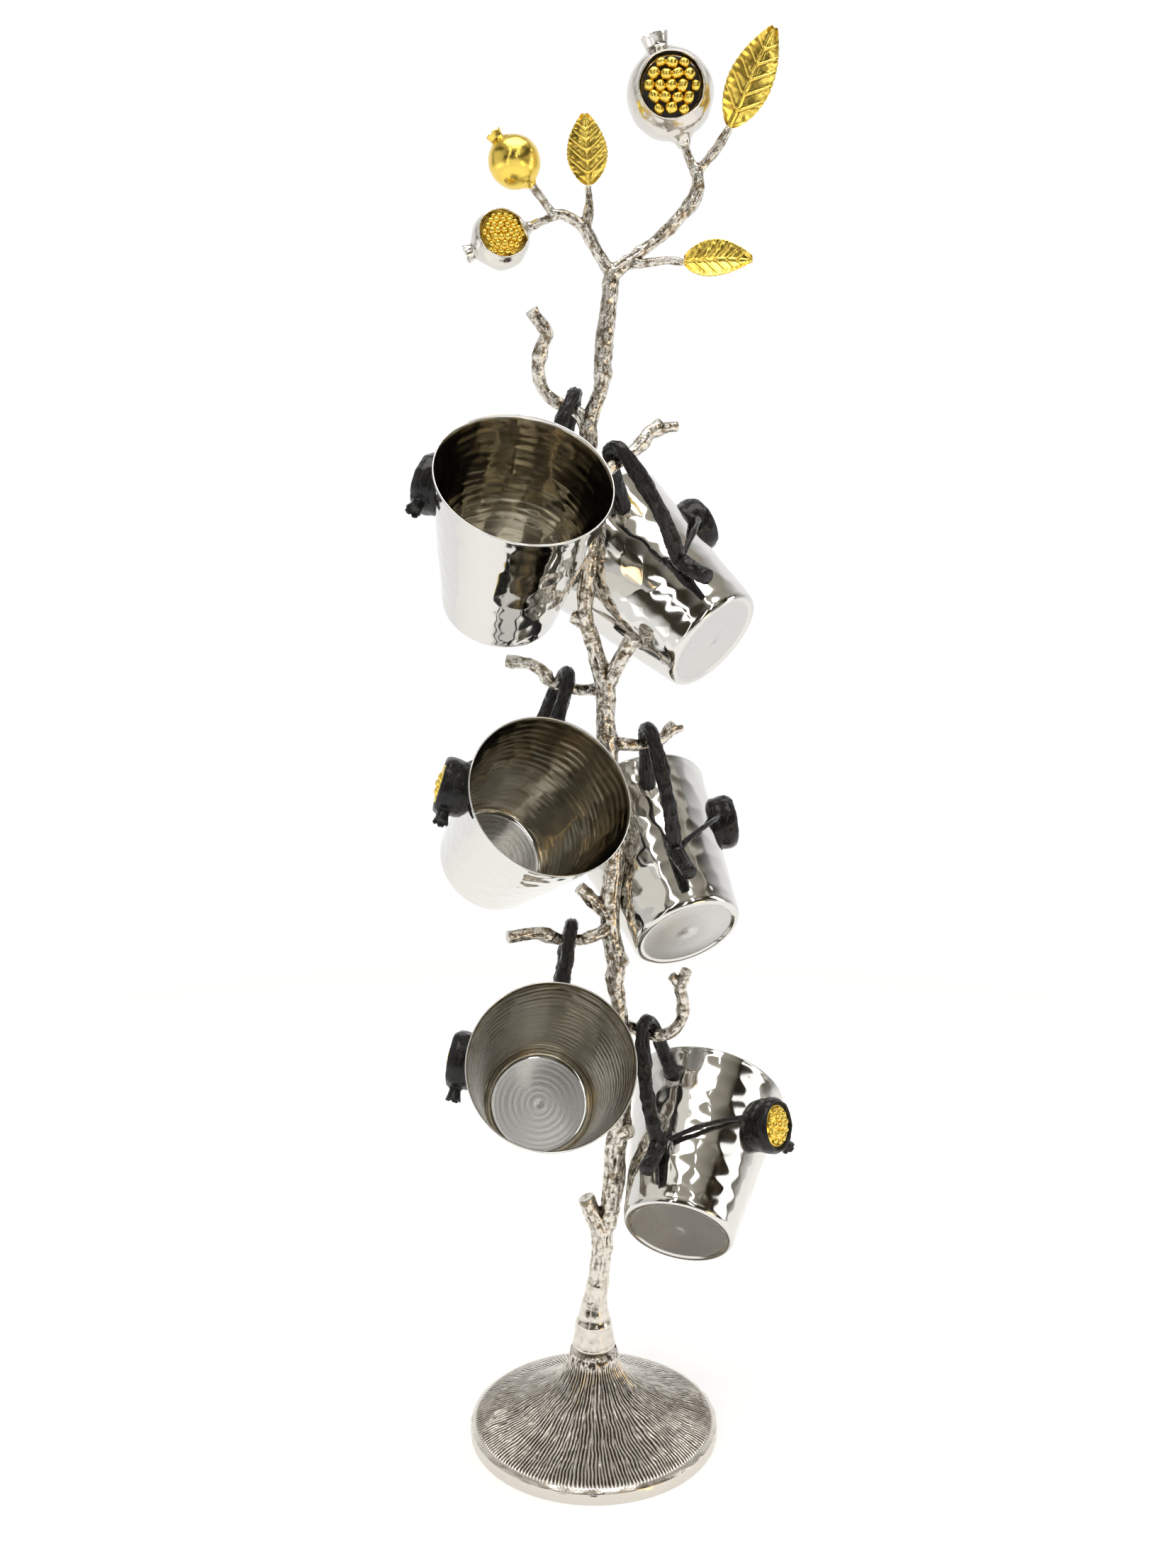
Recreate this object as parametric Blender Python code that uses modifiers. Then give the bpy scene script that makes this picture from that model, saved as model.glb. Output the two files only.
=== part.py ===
"""Mug tree: a cast, plated twig on a domed foot, with six hammered steel mugs hung on its hooks.

Units are metres, +Z is up. The origin is the middle of the underside of the felt pad, which is what
the tree stands on. The mugs on the -X side hang mouth forward (-Y), those on the +X side mouth back.
"""
import math

import bmesh
import bpy
import numpy as np
from mathutils import Matrix, Vector

MM = 0.001

# ---- driving sizes ---------------------------------------------------------------------------------
FOOT_D = 120 * MM            # domed foot, across
FOOT_RIM_H = 6.6 * MM        # height of the foot's polished rim
NECK_D = 22 * MM             # foot's neck where the trunk stands on it
NECK_Z = 44.5 * MM           # height of that joint
PAD_T = 1.6 * MM             # felt pad
PAD_D = 108 * MM
STUD_D = 6 * MM              # tie stud through the foot into the trunk
STUD_DEPTH = 16 * MM         # how far it runs into the trunk
NUT_AF = 10 * MM             # nut across its flats
NUT_T = 5 * MM

BRANCH_D = 5.2 * MM          # hooks, where a mug hangs
BARK_D = 8.0 * MM            # trunk, at its thinnest third
CROWN_RISE = 100 * MM        # fork of the crown up to the foot of the big pomegranate's crown
LOW_HOOK_Z = 200.2 * MM      # seat of the lowest hook
SIDE_STEP = 49 * MM          # the left hooks' start above the right ones

CUP_RIM_D = 76 * MM          # steel cup
CUP_FOOT_D = 52 * MM
CUP_H = 78.5 * MM
CUP_WALL = 0.9 * MM
HANDLE_D = 6.7 * MM          # cast handle bar
HANDLE_REACH = 26.2 * MM     # wall to the middle of the handle's bend
HANDLE_FOOT_Z = 64.4 * MM    # where the bar leaves the wall
TOE_Z = 27 * MM              # where the leg touches the wall again
TAIL_Z = 9 * MM              # cut end of the leg
TWIG_D = 2.1 * MM            # thin twig round the cup
FRUIT_D = 26.5 * MM          # pomegranate on the cup
FRUIT_H = 9.6 * MM
FRUIT_Z = 54.5 * MM
FRUIT_AT = 87.0              # degrees round the cup from the handle
SEED_D = 20.5 * MM           # gold seeds in it

BIG_D = 37 * MM              # pomegranate at the top
GOLD_D = 22.4 * MM           # gilt pomegranate
SMALL_D = 25 * MM            # pomegranate with the open side
WINDOW_D = 27 * MM           # opening of the big one
LEAF_T = 1.5 * MM

GAP = 0.3 * MM               # between pieces that are soldered or rest on each other
PLAY = 1.05 * MM             # room of a hook in the handle's bend

for old in list(bpy.data.objects):
    bpy.data.objects.remove(old, do_unlink=True)
TREE = bpy.data.collections.new("mug_tree")
CUTS = bpy.data.collections.new("cutters")
bpy.context.scene.collection.children.link(TREE)
bpy.context.scene.collection.children.link(CUTS)


# ---- materials -------------------------------------------------------------------------------------
def material(name, colour, metallic, roughness):
    mat = bpy.data.materials.new(name)
    mat.use_nodes = True
    shader = mat.node_tree.nodes["Principled BSDF"]
    shader.inputs["Base Color"].default_value = (*colour, 1.0)
    shader.inputs["Metallic"].default_value = metallic
    shader.inputs["Roughness"].default_value = roughness
    mat.diffuse_color = (*colour, 1.0)
    return mat


PLATED = material("plated_casting", (0.74, 0.71, 0.66), 1.0, 0.2)
GILT = material("gilt_casting", (0.78, 0.55, 0.12), 1.0, 0.25)
STEEL = material("polished_steel", (0.72, 0.72, 0.71), 1.0, 0.1)
BLACK = material("black_casting", (0.02, 0.02, 0.02), 0.7, 0.4)
ZINC = material("zinc_steel", (0.6, 0.6, 0.6), 1.0, 0.4)
FELT = material("felt", (0.03, 0.03, 0.03), 0.0, 0.95)


# ---- modelling helpers -----------------------------------------------------------------------------
def put(name, mesh, mat, where=None, parent=None, matrix=None):
    """Link a mesh as one named piece, or as a cutter when it has no material."""
    obj = bpy.data.objects.new(name, mesh)
    (TREE if mat else CUTS).objects.link(obj)
    if mat:
        mesh.materials.clear()
        mesh.materials.append(mat)
    else:
        obj.hide_render = True
        obj.display_type = "WIRE"
    if parent:
        obj.parent = parent
    if where is not None:
        obj.location = where
    if matrix is not None:
        obj.matrix_local = matrix
    return obj


def baked(obj):
    """The mesh that an object's modifiers make."""
    bpy.context.view_layer.update()
    graph = bpy.context.evaluated_depsgraph_get()
    mesh = bpy.data.meshes.new_from_object(obj.evaluated_get(graph))
    bm = bmesh.new()
    bm.from_mesh(mesh)
    bmesh.ops.remove_doubles(bm, verts=bm.verts, dist=1e-6)
    bm.to_mesh(mesh)
    bm.free()
    mesh.shade_smooth()
    mesh.set_sharp_from_angle(angle=math.radians(40))
    return mesh


def curve_through(points, step):
    """Even points on a smooth curve through the given ones; every value of a point is blended."""
    p = np.array(points, dtype=float)
    p = np.vstack([2 * p[0] - p[1], p, 2 * p[-1] - p[-2]])
    out = []
    for i in range(1, len(p) - 2):
        a, b, c, d = p[i - 1:i + 3]
        count = max(1, round(float(np.linalg.norm((c - b)[:3])) / step))
        for k in range(count):
            t = k / count
            out.append(0.5 * (2 * b + (c - a) * t + (2 * a - 5 * b + 4 * c - d) * t * t
                              + (3 * b - a - 3 * c + d) * t ** 3))
    out.append(p[-2])
    return out


def tube_mesh(points, sides=2):
    """A tapering rod: each point is x, y, z, radius."""
    data = bpy.data.curves.new("rod", "CURVE")
    data.dimensions = "3D"
    data.bevel_depth = 1.0
    data.bevel_resolution = sides
    data.use_fill_caps = True
    line = data.splines.new("POLY")
    line.points.add(len(points) - 1)
    for slot, (x, y, z, r) in zip(line.points, points):
        slot.co = (x, y, z, 1.0)
        slot.radius = r
    obj = bpy.data.objects.new("rod", data)
    bpy.context.scene.collection.objects.link(obj)
    mesh = baked(obj)
    bpy.data.objects.remove(obj)
    return mesh


def turned_mesh(profile, steps):
    """A profile of (radius, height), outer side running down, turned about Z."""
    mesh = bpy.data.meshes.new("turned")
    bm = bmesh.new()
    verts = [bm.verts.new((r, 0.0, z)) for r, z in profile]
    for a, b in zip(verts, verts[1:]):
        bm.edges.new((a, b))
    bm.to_mesh(mesh)
    bm.free()
    obj = bpy.data.objects.new("turned", mesh)
    bpy.context.scene.collection.objects.link(obj)
    screw = obj.modifiers.new("Screw", "SCREW")
    screw.steps = screw.render_steps = steps
    screw.use_merge_vertices = True
    screw.merge_threshold = 0.00001
    done = baked(obj)
    bpy.data.objects.remove(obj)
    return done


def boolean(mesh, *others, op="DIFFERENCE"):
    """A mesh after cutting the others from it, or joining them to it."""
    obj = put("work", mesh, None)
    tools = [put("tool", m, None) for m in others]
    for tool in tools:
        mod = obj.modifiers.new("Boolean", "BOOLEAN")
        mod.operation = op
        mod.object = tool
        mod.solver = "EXACT"
    done = baked(obj)
    for item in [obj] + tools:
        bpy.data.objects.remove(item)
    return done


def grown(points, by):
    return [(x, y, z, r + by) for x, y, z, r in points]


def aim(direction, at, spin=0.0):
    """A placement whose Z lies along the direction."""
    turn = Vector(direction).normalized().to_track_quat("Z", "Y").to_matrix().to_4x4()
    return Matrix.Translation(at) @ turn @ Matrix.Rotation(spin, 4, "Z")


# ---- mug, about the middle of its underside, mouth up, handle towards +X ----------------------------
def wall_r(z):
    """Outer radius of the cup at a height."""
    return (CUP_FOOT_D + (CUP_RIM_D - CUP_FOOT_D) * z / CUP_H) / 2


HANDLE_R = HANDLE_D / 2
BEND_R = HANDLE_R + BRANCH_D / 2 + PLAY
BEND = Vector((wall_r(HANDLE_FOOT_Z) + HANDLE_REACH, 0.0, HANDLE_FOOT_Z + 2.6 * MM))
SEAT = BEND + Vector((0.3 * MM, 0.0, 0.3 * MM))


def tangent(centre, radius, point, side):
    """Where a line from a point touches a circle in the XZ plane."""
    dx, dz = point.x - centre.x, point.z - centre.z
    turn = side * math.acos(radius / math.hypot(dx, dz))
    angle = math.remainder(math.atan2(dz, dx) + turn, math.tau)
    return Vector((centre.x + radius * math.cos(angle), 0, centre.z + radius * math.sin(angle))), angle


def cup_profile(extra=0.0):
    """The drawn cup: rolled lip, straight wall, small foot ring and a slightly sunk bottom."""
    foot, rim = CUP_FOOT_D / 2, CUP_RIM_D / 2
    if extra:
        return [(0, CUP_H + extra), (rim + extra, CUP_H + extra), (foot + extra, 0), (foot + extra, -extra),
                (0, -extra)]
    t = CUP_WALL
    return [(0, t + 0.8 * MM), (foot - t - 1 * MM, t + 1.2 * MM), (foot - t + 0.2 * MM, 3.2 * MM),
            (rim - t, CUP_H - 0.6 * MM), (rim - t / 2, CUP_H), (rim, CUP_H - 0.5 * MM),
            (foot + 0.3 * MM, 2 * MM), (foot - 1.2 * MM, 0), (foot - 2.6 * MM, 0), (foot - 3.4 * MM, 0.7 * MM),
            (0, 0.7 * MM)]


CUP_CUT = turned_mesh(cup_profile(GAP), 64)
cup_mesh = turned_mesh(cup_profile(), 28)

# handle: out of the wall, round the bend, down a bowed leg to touch the wall, and a cut tail
start = Vector((wall_r(HANDLE_FOOT_Z) - 1.2 * MM, 0, HANDLE_FOOT_Z - 0.4 * MM))
toe = Vector((wall_r(TOE_Z) + HANDLE_R + GAP, 0, TOE_Z))
tail = Vector((wall_r(TAIL_Z) + 10.8 * MM, 0, TAIL_Z))
on_top, top_angle = tangent(BEND, BEND_R, start, -1)
bow = Vector((wall_r(38 * MM) + 23.5 * MM, 0, 38 * MM))
on_leg, leg_angle = tangent(BEND, BEND_R, bow, 1)
line = [start, start.lerp(on_top, 0.5)]
for k in range(8):
    angle = top_angle + (leg_angle - top_angle) * k / 7
    line.append(BEND + Vector((math.cos(angle), 0, math.sin(angle))) * BEND_R)
for k in range(1, 8):
    t = k / 7
    line.append(on_leg * (1 - t) ** 2 + bow * 2 * t * (1 - t) + toe * t * t)
line.append(toe + Vector((-0.1 * MM, 0, -3.4 * MM)))
line.append((toe + tail) / 2 + Vector((-0.6 * MM, 0, -1.5 * MM)))
line.append(tail)
handle_mesh = boolean(tube_mesh([(*p, HANDLE_R) for p in line], 2), CUP_CUT)

# pomegranate on the cup: a flat turned body with a calyx on its far edge, let in for the seeds
at = math.radians(FRUIT_AT)
out = Vector((math.cos(at), math.sin(at), 0))
away = Vector((-math.sin(at), math.cos(at), 0))
slope = math.atan((CUP_RIM_D - CUP_FOOT_D) / 2 / CUP_H)
face = (out * math.cos(slope) - Vector((0, 0, math.sin(slope)))).normalized()
root = out * wall_r(FRUIT_Z) + Vector((0, 0, FRUIT_Z))
R = FRUIT_D / 2
body = turned_mesh([(0, FRUIT_H), (SEED_D / 2 + 0.6 * MM, FRUIT_H), (R - 1.3 * MM, FRUIT_H - 1.4 * MM),
                    (R, FRUIT_H - 4 * MM), (R - 0.6 * MM, 1.6 * MM), (R - 2.4 * MM, -3 * MM), (0, -3 * MM)], 16)
body.transform(aim(face, root))
calyx = turned_mesh([(0, 6.6 * MM), (2.2 * MM, 6.4 * MM), (4.4 * MM, 6.6 * MM), (3.4 * MM, 4 * MM),
                     (2.8 * MM, 2 * MM), (3.4 * MM, -3 * MM), (0, -3 * MM)], 8)
calyx.transform(aim(away, root + away * (R - 0.8 * MM) + face * (FRUIT_H - 4.6 * MM)))
sink = turned_mesh([(0, 12 * MM), (SEED_D / 2 + GAP, 12 * MM), (SEED_D / 2 + GAP, FRUIT_H - 2.4 * MM),
                    (0, FRUIT_H - 2.4 * MM)], 16)
sink.transform(aim(face, root))
fruit_mesh = boolean(boolean(body, calyx, op="UNION"), sink, CUP_CUT)
low = FRUIT_H - 2.4 * MM + GAP
seeds_mesh = turned_mesh([(0, low + 4 * MM), (SEED_D * 0.2, low + 3.7 * MM), (SEED_D * 0.36, low + 2.9 * MM),
                          (SEED_D / 2 - 0.2 * MM, low + 1.4 * MM), (SEED_D / 2, low), (0, low)], 14)
seeds_mesh.transform(aim(face, root))

# thin twig from beside the leg's toe, up round the wall, to the edge of the pomegranate
TWIG_R = TWIG_D / 2
first = math.degrees(math.asin((HANDLE_R + TWIG_R + GAP) / wall_r(TOE_Z)))
last = FRUIT_AT - math.degrees((R + GAP * 2 + 0.4 * MM) / wall_r(FRUIT_Z) * 0.94)
twig = []
for k in range(13):
    t = k / 12
    z = TOE_Z + 2 * MM + (FRUIT_Z - 7 * MM - TOE_Z) * (0.75 * t + 0.25 * t * t)
    turn = math.radians(first + (last - first) * t)
    r = wall_r(z) + TWIG_R + GAP * 2 + 1.8 * MM * math.sin(math.pi * t) + 1.6 * MM * t
    twig.append((r * math.cos(turn), r * math.sin(turn), z, TWIG_R * (1.25 - 0.25 * math.sin(math.pi * t))))
twig_mesh = tube_mesh(twig, 1)

# ---- the six hooks and how each mug hangs on its own ------------------------------------------------
# Per mug: which way its mouth and its handle point. Per hook: points from the trunk to the tip, as
# steps from its seat, in mm, with the rod's thickness as a share of BRANCH_D. The seat is the point
# (0, 0, 0) of the list. A wider cup pushes the seat out from the trunk: inset is what it stays inside
# the cup's half width.
MUGS = {
    "right_low": dict(mouth=(0.234, 0.787, 0.571), handle=(-0.461, -0.428, 0.778)),
    "left_low": dict(mouth=(0.105, -0.828, 0.551), handle=(0.133, 0.561, 0.817)),
    "right_middle": dict(mouth=(-0.317, 0.675, 0.666), handle=(0.049, -0.690, 0.723)),
    "left_middle": dict(mouth=(0.387, -0.760, 0.523), handle=(0.134, 0.607, 0.783)),
    "right_top": dict(mouth=(-0.657, 0.471, 0.588), handle=(0.017, -0.772, 0.636)),
    "left_top": dict(mouth=(0.177, -0.703, 0.688), handle=(0.322, 0.702, 0.635)),
}
HOOKS = {
    "right_low": dict(inset=12, y=3.6, side=1, line=[
        (-14, -2.6, 6, 1.35), (-9.6, 1.8, 3.4, 1.1), (-5, 2.6, 0.8, 1), (0, 0, 0, 1), (6.3, -2.6, 0.5, 1),
        (11.6, -4, 3.6, 1), (15, -4.9, 9.3, 1), (15.4, -6.1, 18.1, 1.04), (14, -7.4, 25.1, 1.2),
        (15.4, -8.6, 30.1, 0.96), (16.8, -9.7, 34.1, 1)]),
    "left_low": dict(inset=26.5, y=-6.4, side=-1, line=[
        (18.7, 6.4, 4.8, 1.4), (12.5, 1.6, 1.8, 1.1), (6, 0.1, -0.4, 1), (0, 0, 0, 1), (-5, -1.2, 0.4, 1.04),
        (-10.2, -2.8, 2.6, 1.2), (-15.4, -4.5, 3.7, 1.1), (-28, -8.8, 3.2, 1.08)]),
    "right_middle": dict(inset=12.4, y=5.5, side=1, line=[
        (-19.6, -5.5, 0.4, 1.4), (-13.6, -3.3, -0.2, 1.1), (-6.6, -1.6, -1.1, 1), (0, 0, 0, 1),
        (5.8, 1.8, 2, 1.06), (11.4, 3.2, 8, 0.96)]),
    "left_middle": dict(inset=23.5, y=10.4, side=-1, line=[
        (19.1, -10.4, -0.4, 1.4), (14.9, -3.4, -1.2, 1.1), (7.5, 1.2, -1.8, 1), (0, 0, 0, 1),
        (-5.5, -0.7, 2.3, 1), (-9.9, -0.3, 7, 1.12), (-15.5, 0.5, 10.2, 1.04), (-25.8, 2.5, 11.6, 1.04)]),
    "right_top": dict(inset=27, y=-12.6, side=1, line=[
        (-13, 12, -3.9, 1.3), (-9.4, 5.1, -5, 1.08), (-5.4, -0.8, -4.2, 1), (0, 0, 0, 1), (5, 2.9, 3.4, 1),
        (9.2, 5.3, 7.6, 1.04), (13.5, 7, 12.6, 1.2), (19, 7.9, 14.4, 0.92), (25.6, 8.7, 15.4, 0.84)]),
    "left_top": dict(inset=27.2, y=0.4, side=-1, line=[
        (8.4, -0.4, -10.1, 1.3), (5, -0.3, -3.2, 1.08), (0, 0, 0, 1), (-5.6, 0, 2.7, 1), (-10.3, -0.8, 6.9, 1),
        (-13.1, -1.7, 12.2, 1), (-13.6, -2.9, 18.7, 0.96), (-12, -4.2, 26.2, 1), (-10, -5.4, 31.5, 1.22),
        (-14, -7, 36.8, 1), (-16.4, -8.2, 40.8, 1.04)]),
}
ORDER = list(HOOKS)


def mug_turn(name):
    mouth = Vector(MUGS[name]["mouth"]).normalized()
    handle = Vector(MUGS[name]["handle"])
    handle = (handle - mouth * handle.dot(mouth)).normalized()
    return Matrix((handle, mouth.cross(handle), mouth)).transposed().to_4x4()


def reach_up_down(name):
    """How far a hung mug reaches above and below its seat."""
    turn = mug_turn(name) @ Matrix.Translation(-SEAT)
    heights = [(turn @ v.co).z for m in (cup_mesh, handle_mesh, fruit_mesh) for v in m.vertices]
    return max(heights), min(heights)


# each upper mug hangs clear of the one below it on the same side
TIER_ROOM = {"right_middle": 20.9 * MM, "left_middle": 0.1 * MM, "right_top": 16.4 * MM, "left_top": 9.95 * MM}
seat_z = {"right_low": LOW_HOOK_Z, "left_low": LOW_HOOK_Z + SIDE_STEP}
for below, name in zip(ORDER, ORDER[2:]):
    seat_z[name] = seat_z[below] + reach_up_down(below)[0] - reach_up_down(name)[1] + TIER_ROOM[name]

# ---- trunk and its cut stubs ------------------------------------------------------------------------
# Route of the trunk: steps up or down from a hook's seat height (or from the neck), then x, y and the
# thickness as a share of BARK_D, in mm.
ROUTE = [
    ("neck", [(0.3, 0, 0, 0), (4, 0, 0, 0), (10, 0, 0, 2.18), (20.5, 0.3, 0, 1.58), (29, 1.4, 0, 1.24),
              (38, 2.8, 0, 1.08), (52, 4.2, 0, 1.06), (62, 5, 0, 1.15), (72.5, 8, 0, 1.25), (87, 9.4, 0, 1.3)]),
    ("right_low", [(-54, 10.6, 0, 1.25), (-44, 12.2, 0, 1.22), (-28, 13.4, 0.5, 1.05), (-10, 13.6, 1, 0.95),
                   (6, 12.4, 1, 0.95), (17, 11.4, 1, 0.88)]),
    ("left_low", [(-22, 9.7, 0.5, 0.92), (-11, 10.2, 0, 1.08), (-2, 8.2, 0, 1.05), (7, 7.2, 0, 1.08),
                  (19, 7.4, 0, 1.05), (34, 9, 0, 1)]),
    ("right_middle", [(-39, 9.2, 0, 1), (-21, 7.6, 0, 1.02), (-5, 6.4, 0, 1.08), (6, 5.2, 0, 1.08)]),
    ("left_middle", [(-11.4, 5, 0, 1.02), (-0.7, 5.3, 0, 1.12), (7.6, 3.4, 0, 1.1), (15.6, 1, 0, 0.95),
                     (23.6, -1.6, -1.5, 0.88), (30.6, -4, -2.4, 0.88), (41.6, -4.2, -3.4, 0.85),
                     (53.6, -3, -4, 0.85), (65.6, -1.8, -3.6, 0.88)]),
    ("right_top", [(-19.4, -1.4, -2.2, 0.9), (-4.4, -1.6, -0.6, 0.92), (5.6, -2.6, 0, 0.95)]),
    ("left_top", [(-6.6, -2.4, 0, 0.9), (2.4, 0.6, 0, 0.8), (10, 2.8, 0, 0.82), (18.4, 3.8, 0, 0.98),
                  (30.4, 4.6, 0, 0.98), (41.4, 5.6, 0, 0.88), (48.4, 6.6, 0, 0.85), (53, 7.1, 0, 0.88)]),
]
height = dict(seat_z, neck=NECK_Z)
trunk_line = []
for mark, points in ROUTE:
    for dz, x, y, share in points:
        r = BARK_D / 2 * share if share else NECK_D / 2
        trunk_line.append((x * MM, y * MM, height[mark] + dz * MM, r))


def trunk_at(z):
    """Middle of the trunk at a height."""
    zs = [p[2] for p in trunk_line]
    return Vector([float(np.interp(z, zs, [p[i] for p in trunk_line])) for i in (0, 1)] + [z])


trunk_rod = curve_through(trunk_line, 13 * MM)
trunk_rod[0][0:2] = trunk_rod[1][0:2]
trunk_rod[-2][0:2] = trunk_rod[-1][0:2]
# each stub: mark, height step of its root, then its end from there, thickness shares at root and end
STUBS = [("neck", 61.5, (-9, -2, 15), 1.0, 0.84), ("right_low", -47, (5, -4, 2), 1.1, 0.84),
         ("left_low", 9, (-14.6, -3, 15), 1.0, 0.72), ("left_middle", 2, (12, -11, 22.5), 1.0, 0.94),
         ("left_low", -13, (5.5, -1, 2.2), 1.0, 0.8), ("left_middle", 30, (-6.5, 1, 2.4), 0.9, 0.74)]
stub_rods = []
for mark, dz, end, thick, thin in STUBS:
    foot = trunk_at(height[mark] + dz * MM)
    tip = foot + Vector(end) * MM
    knee = foot.lerp(tip, 0.5) - Vector((0, 0, 0.06)) * (tip - foot).length
    stub_rods.append([(*foot, BARK_D / 2 * thick * 0.86), (*knee, BARK_D / 2 * (thick + thin) / 2 * 0.86),
                      (*tip, BARK_D / 2 * thin * 0.86)])
trunk_mesh = boolean(tube_mesh(trunk_rod, 3), *[tube_mesh(rod, 2) for rod in stub_rods], op="UNION")
STUD_HOLE = turned_mesh([(0, NECK_Z + STUD_DEPTH + 1 * MM), (STUD_D / 2 + GAP, NECK_Z + STUD_DEPTH + 1 * MM),
                         (STUD_D / 2 + GAP, -5 * MM), (0, -5 * MM)], 16)
trunk_mesh = boolean(trunk_mesh, STUD_HOLE)
put("trunk", trunk_mesh, PLATED)
TRUNK_CUT = tube_mesh(grown(trunk_rod, GAP), 3)
STUB_CUTS = [tube_mesh(grown(rod, GAP), 2) for rod in stub_rods]

# ---- hooks, each with its root coped to the trunk ---------------------------------------------------
seats = {}
for name, hook in HOOKS.items():
    seat = Vector((hook["side"] * (CUP_RIM_D / 2 - hook["inset"] * MM), hook["y"] * MM, seat_z[name]))
    seats[name] = seat
    root = hook["line"][0]
    middle = trunk_at(seat.z + root[2] * MM)
    reach = (middle.x - seat.x) / (root[0] * MM)
    line = []
    passed = False
    for dx, dy, dz, share in hook["line"]:
        passed = passed or (dx, dy, dz) == (0, 0, 0)
        x = seat.x + dx * MM * (1 if passed else reach)
        line.append((x, seat.y + dy * MM, seat.z + dz * MM, BRANCH_D / 2 * share))
    rod = curve_through(line, 6 * MM)
    put("hook_" + name, boolean(tube_mesh(rod, 2), TRUNK_CUT, *STUB_CUTS), PLATED)

# ---- crown: two limbs, three gilt leaves, three pomegranates ---------------------------------------
# points of the crown are steps from the trunk's cut top in hundredths of CROWN_RISE
top = Vector((trunk_line[-1][0], trunk_line[-1][1], trunk_line[-1][2] + GAP))
PART = CROWN_RISE / 100


def crown(points):
    return [(top.x + x * PART, top.y + y * PART, top.z + z * PART, r * MM) for x, y, z, r in points]


right_main = crown([(0, 0, 0, 3.5), (0, 0, 0.9, 3.5), (1.6, 0, 3.2, 3.3), (7.7, 0, 9.3, 2.9), (14.7, 0, 14, 2.6),
                    (21.8, -0.5, 19.3, 2.6), (28.7, -1, 26, 2.7), (35.3, -1, 34, 2.8), (37.1, -1, 40.5, 2.8),
                    (36.5, -1, 46.1, 2.6)])
right_fruit = crown([(36.5, -1, 45, 2.3), (33.7, -0.6, 50.4, 2.2), (31.4, 0, 56, 1.9), (30.5, 0, 59, 1.9)])
right_leaf = crown([(36.5, -1, 45, 2.3), (43.4, -1, 52.7, 2), (48.5, -0.6, 60, 1.7), (50, -0.5, 63.2, 1.4)])
right_side = crown([(7, 0, 8.2, 2.6), (13, -1.4, 7.4, 1.9), (17.5, -2, 8, 1.7), (25, -2.6, 8.6, 1.5),
                    (31, -3, 7.8, 1.4)])
left_main = crown([(1.2, 0, 4.6, 2.5), (-4.2, 0, 10, 2.6), (-7.7, 0, 16, 2.6), (-11.2, 0, 22, 2.6),
                   (-15, 0.4, 25.4, 2.3), (-20.4, 1, 28, 2.0), (-25.4, 1, 28.4, 2.1)])
left_leaf = crown([(-11.2, 0, 22, 2.3), (-9.8, 0, 28, 2.1), (-9.5, 0, 36, 1.7), (-9.6, 0, 39.6, 1.4)])
left_gold = crown([(-24.4, 0.8, 27.4, 1.9), (-29.9, 0.6, 35, 1.7), (-34.2, 0, 40.4, 1.7)])
left_small = crown([(-22.8, 1.1, 28.6, 1.8), (-30, 1, 25.5, 1.7), (-35.8, 0.6, 23, 1.6)])


def limb(name, rods, *cuts):
    rods = [curve_through(r, 5 * MM) for r in rods]
    mesh = boolean(tube_mesh(rods[0], 2), *[tube_mesh(r, 2) for r in rods[1:]], op="UNION")
    put(name, boolean(mesh, *cuts) if cuts else mesh, PLATED)
    return [tube_mesh(grown(r, GAP), 2) for r in rods]


right_cuts = limb("crown_right_limb", [right_main, right_fruit, right_leaf, right_side])
limb("crown_left_limb", [left_main, left_leaf, left_gold, left_small], right_cuts[0])


def leaf(name, base, tip, width, normal, droop):
    """A cast leaf: a strip of outline widths, cupped across and arched along, made solid."""
    mesh = bpy.data.meshes.new(name)
    bm = bmesh.new()
    bmesh.ops.create_grid(bm, x_segments=4, y_segments=7, size=1.0)
    along = tip - base
    face = (normal - along * normal.dot(along) / along.length_squared).normalized()
    across = along.normalized().cross(face)
    for v in bm.verts:
        t = (v.co.y + 1) / 2
        half = width / 2 * (0.09 + 0.91 * math.sin(math.pi * min(1, t * 0.97 + 0.012) ** 0.82) ** 0.8)
        lift = droop * math.sin(math.pi * t) + width * 0.12 * v.co.x ** 2
        v.co = base + along * t + across * v.co.x * half + face * lift
    bm.to_mesh(mesh)
    bm.free()
    obj = put(name, mesh, None)
    solid = obj.modifiers.new("Solidify", "SOLIDIFY")
    solid.thickness = LEAF_T
    solid.offset = 0
    done = baked(obj)
    bpy.data.objects.remove(obj)
    return put(name, done, GILT)


def past(rod, by=GAP + 0.3 * MM):
    """Just past the end of a rod, and the way it points."""
    way = (Vector(rod[-1][:3]) - Vector(rod[-2][:3])).normalized()
    return Vector(rod[-1][:3]) + way * by, way


end, way = past(right_leaf)
leaf("leaf_top", end, end + Vector((18.2, -2, 39)) * PART, 19 * MM, Vector((0.1, -1, 0.1)), 2 * MM)
end, way = past(left_leaf)
leaf("leaf_left", end, end + Vector((-1.8, -2, 28.4)) * PART, 17.2 * MM, Vector((0, -1, 0.15)), 1.5 * MM)
end, way = past(right_side)
leaf("leaf_right", end, end + Vector((28.8, -6, -0.4)) * PART, 17.6 * MM, Vector((0.05, -0.8, 0.6)), 1.5 * MM)


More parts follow.
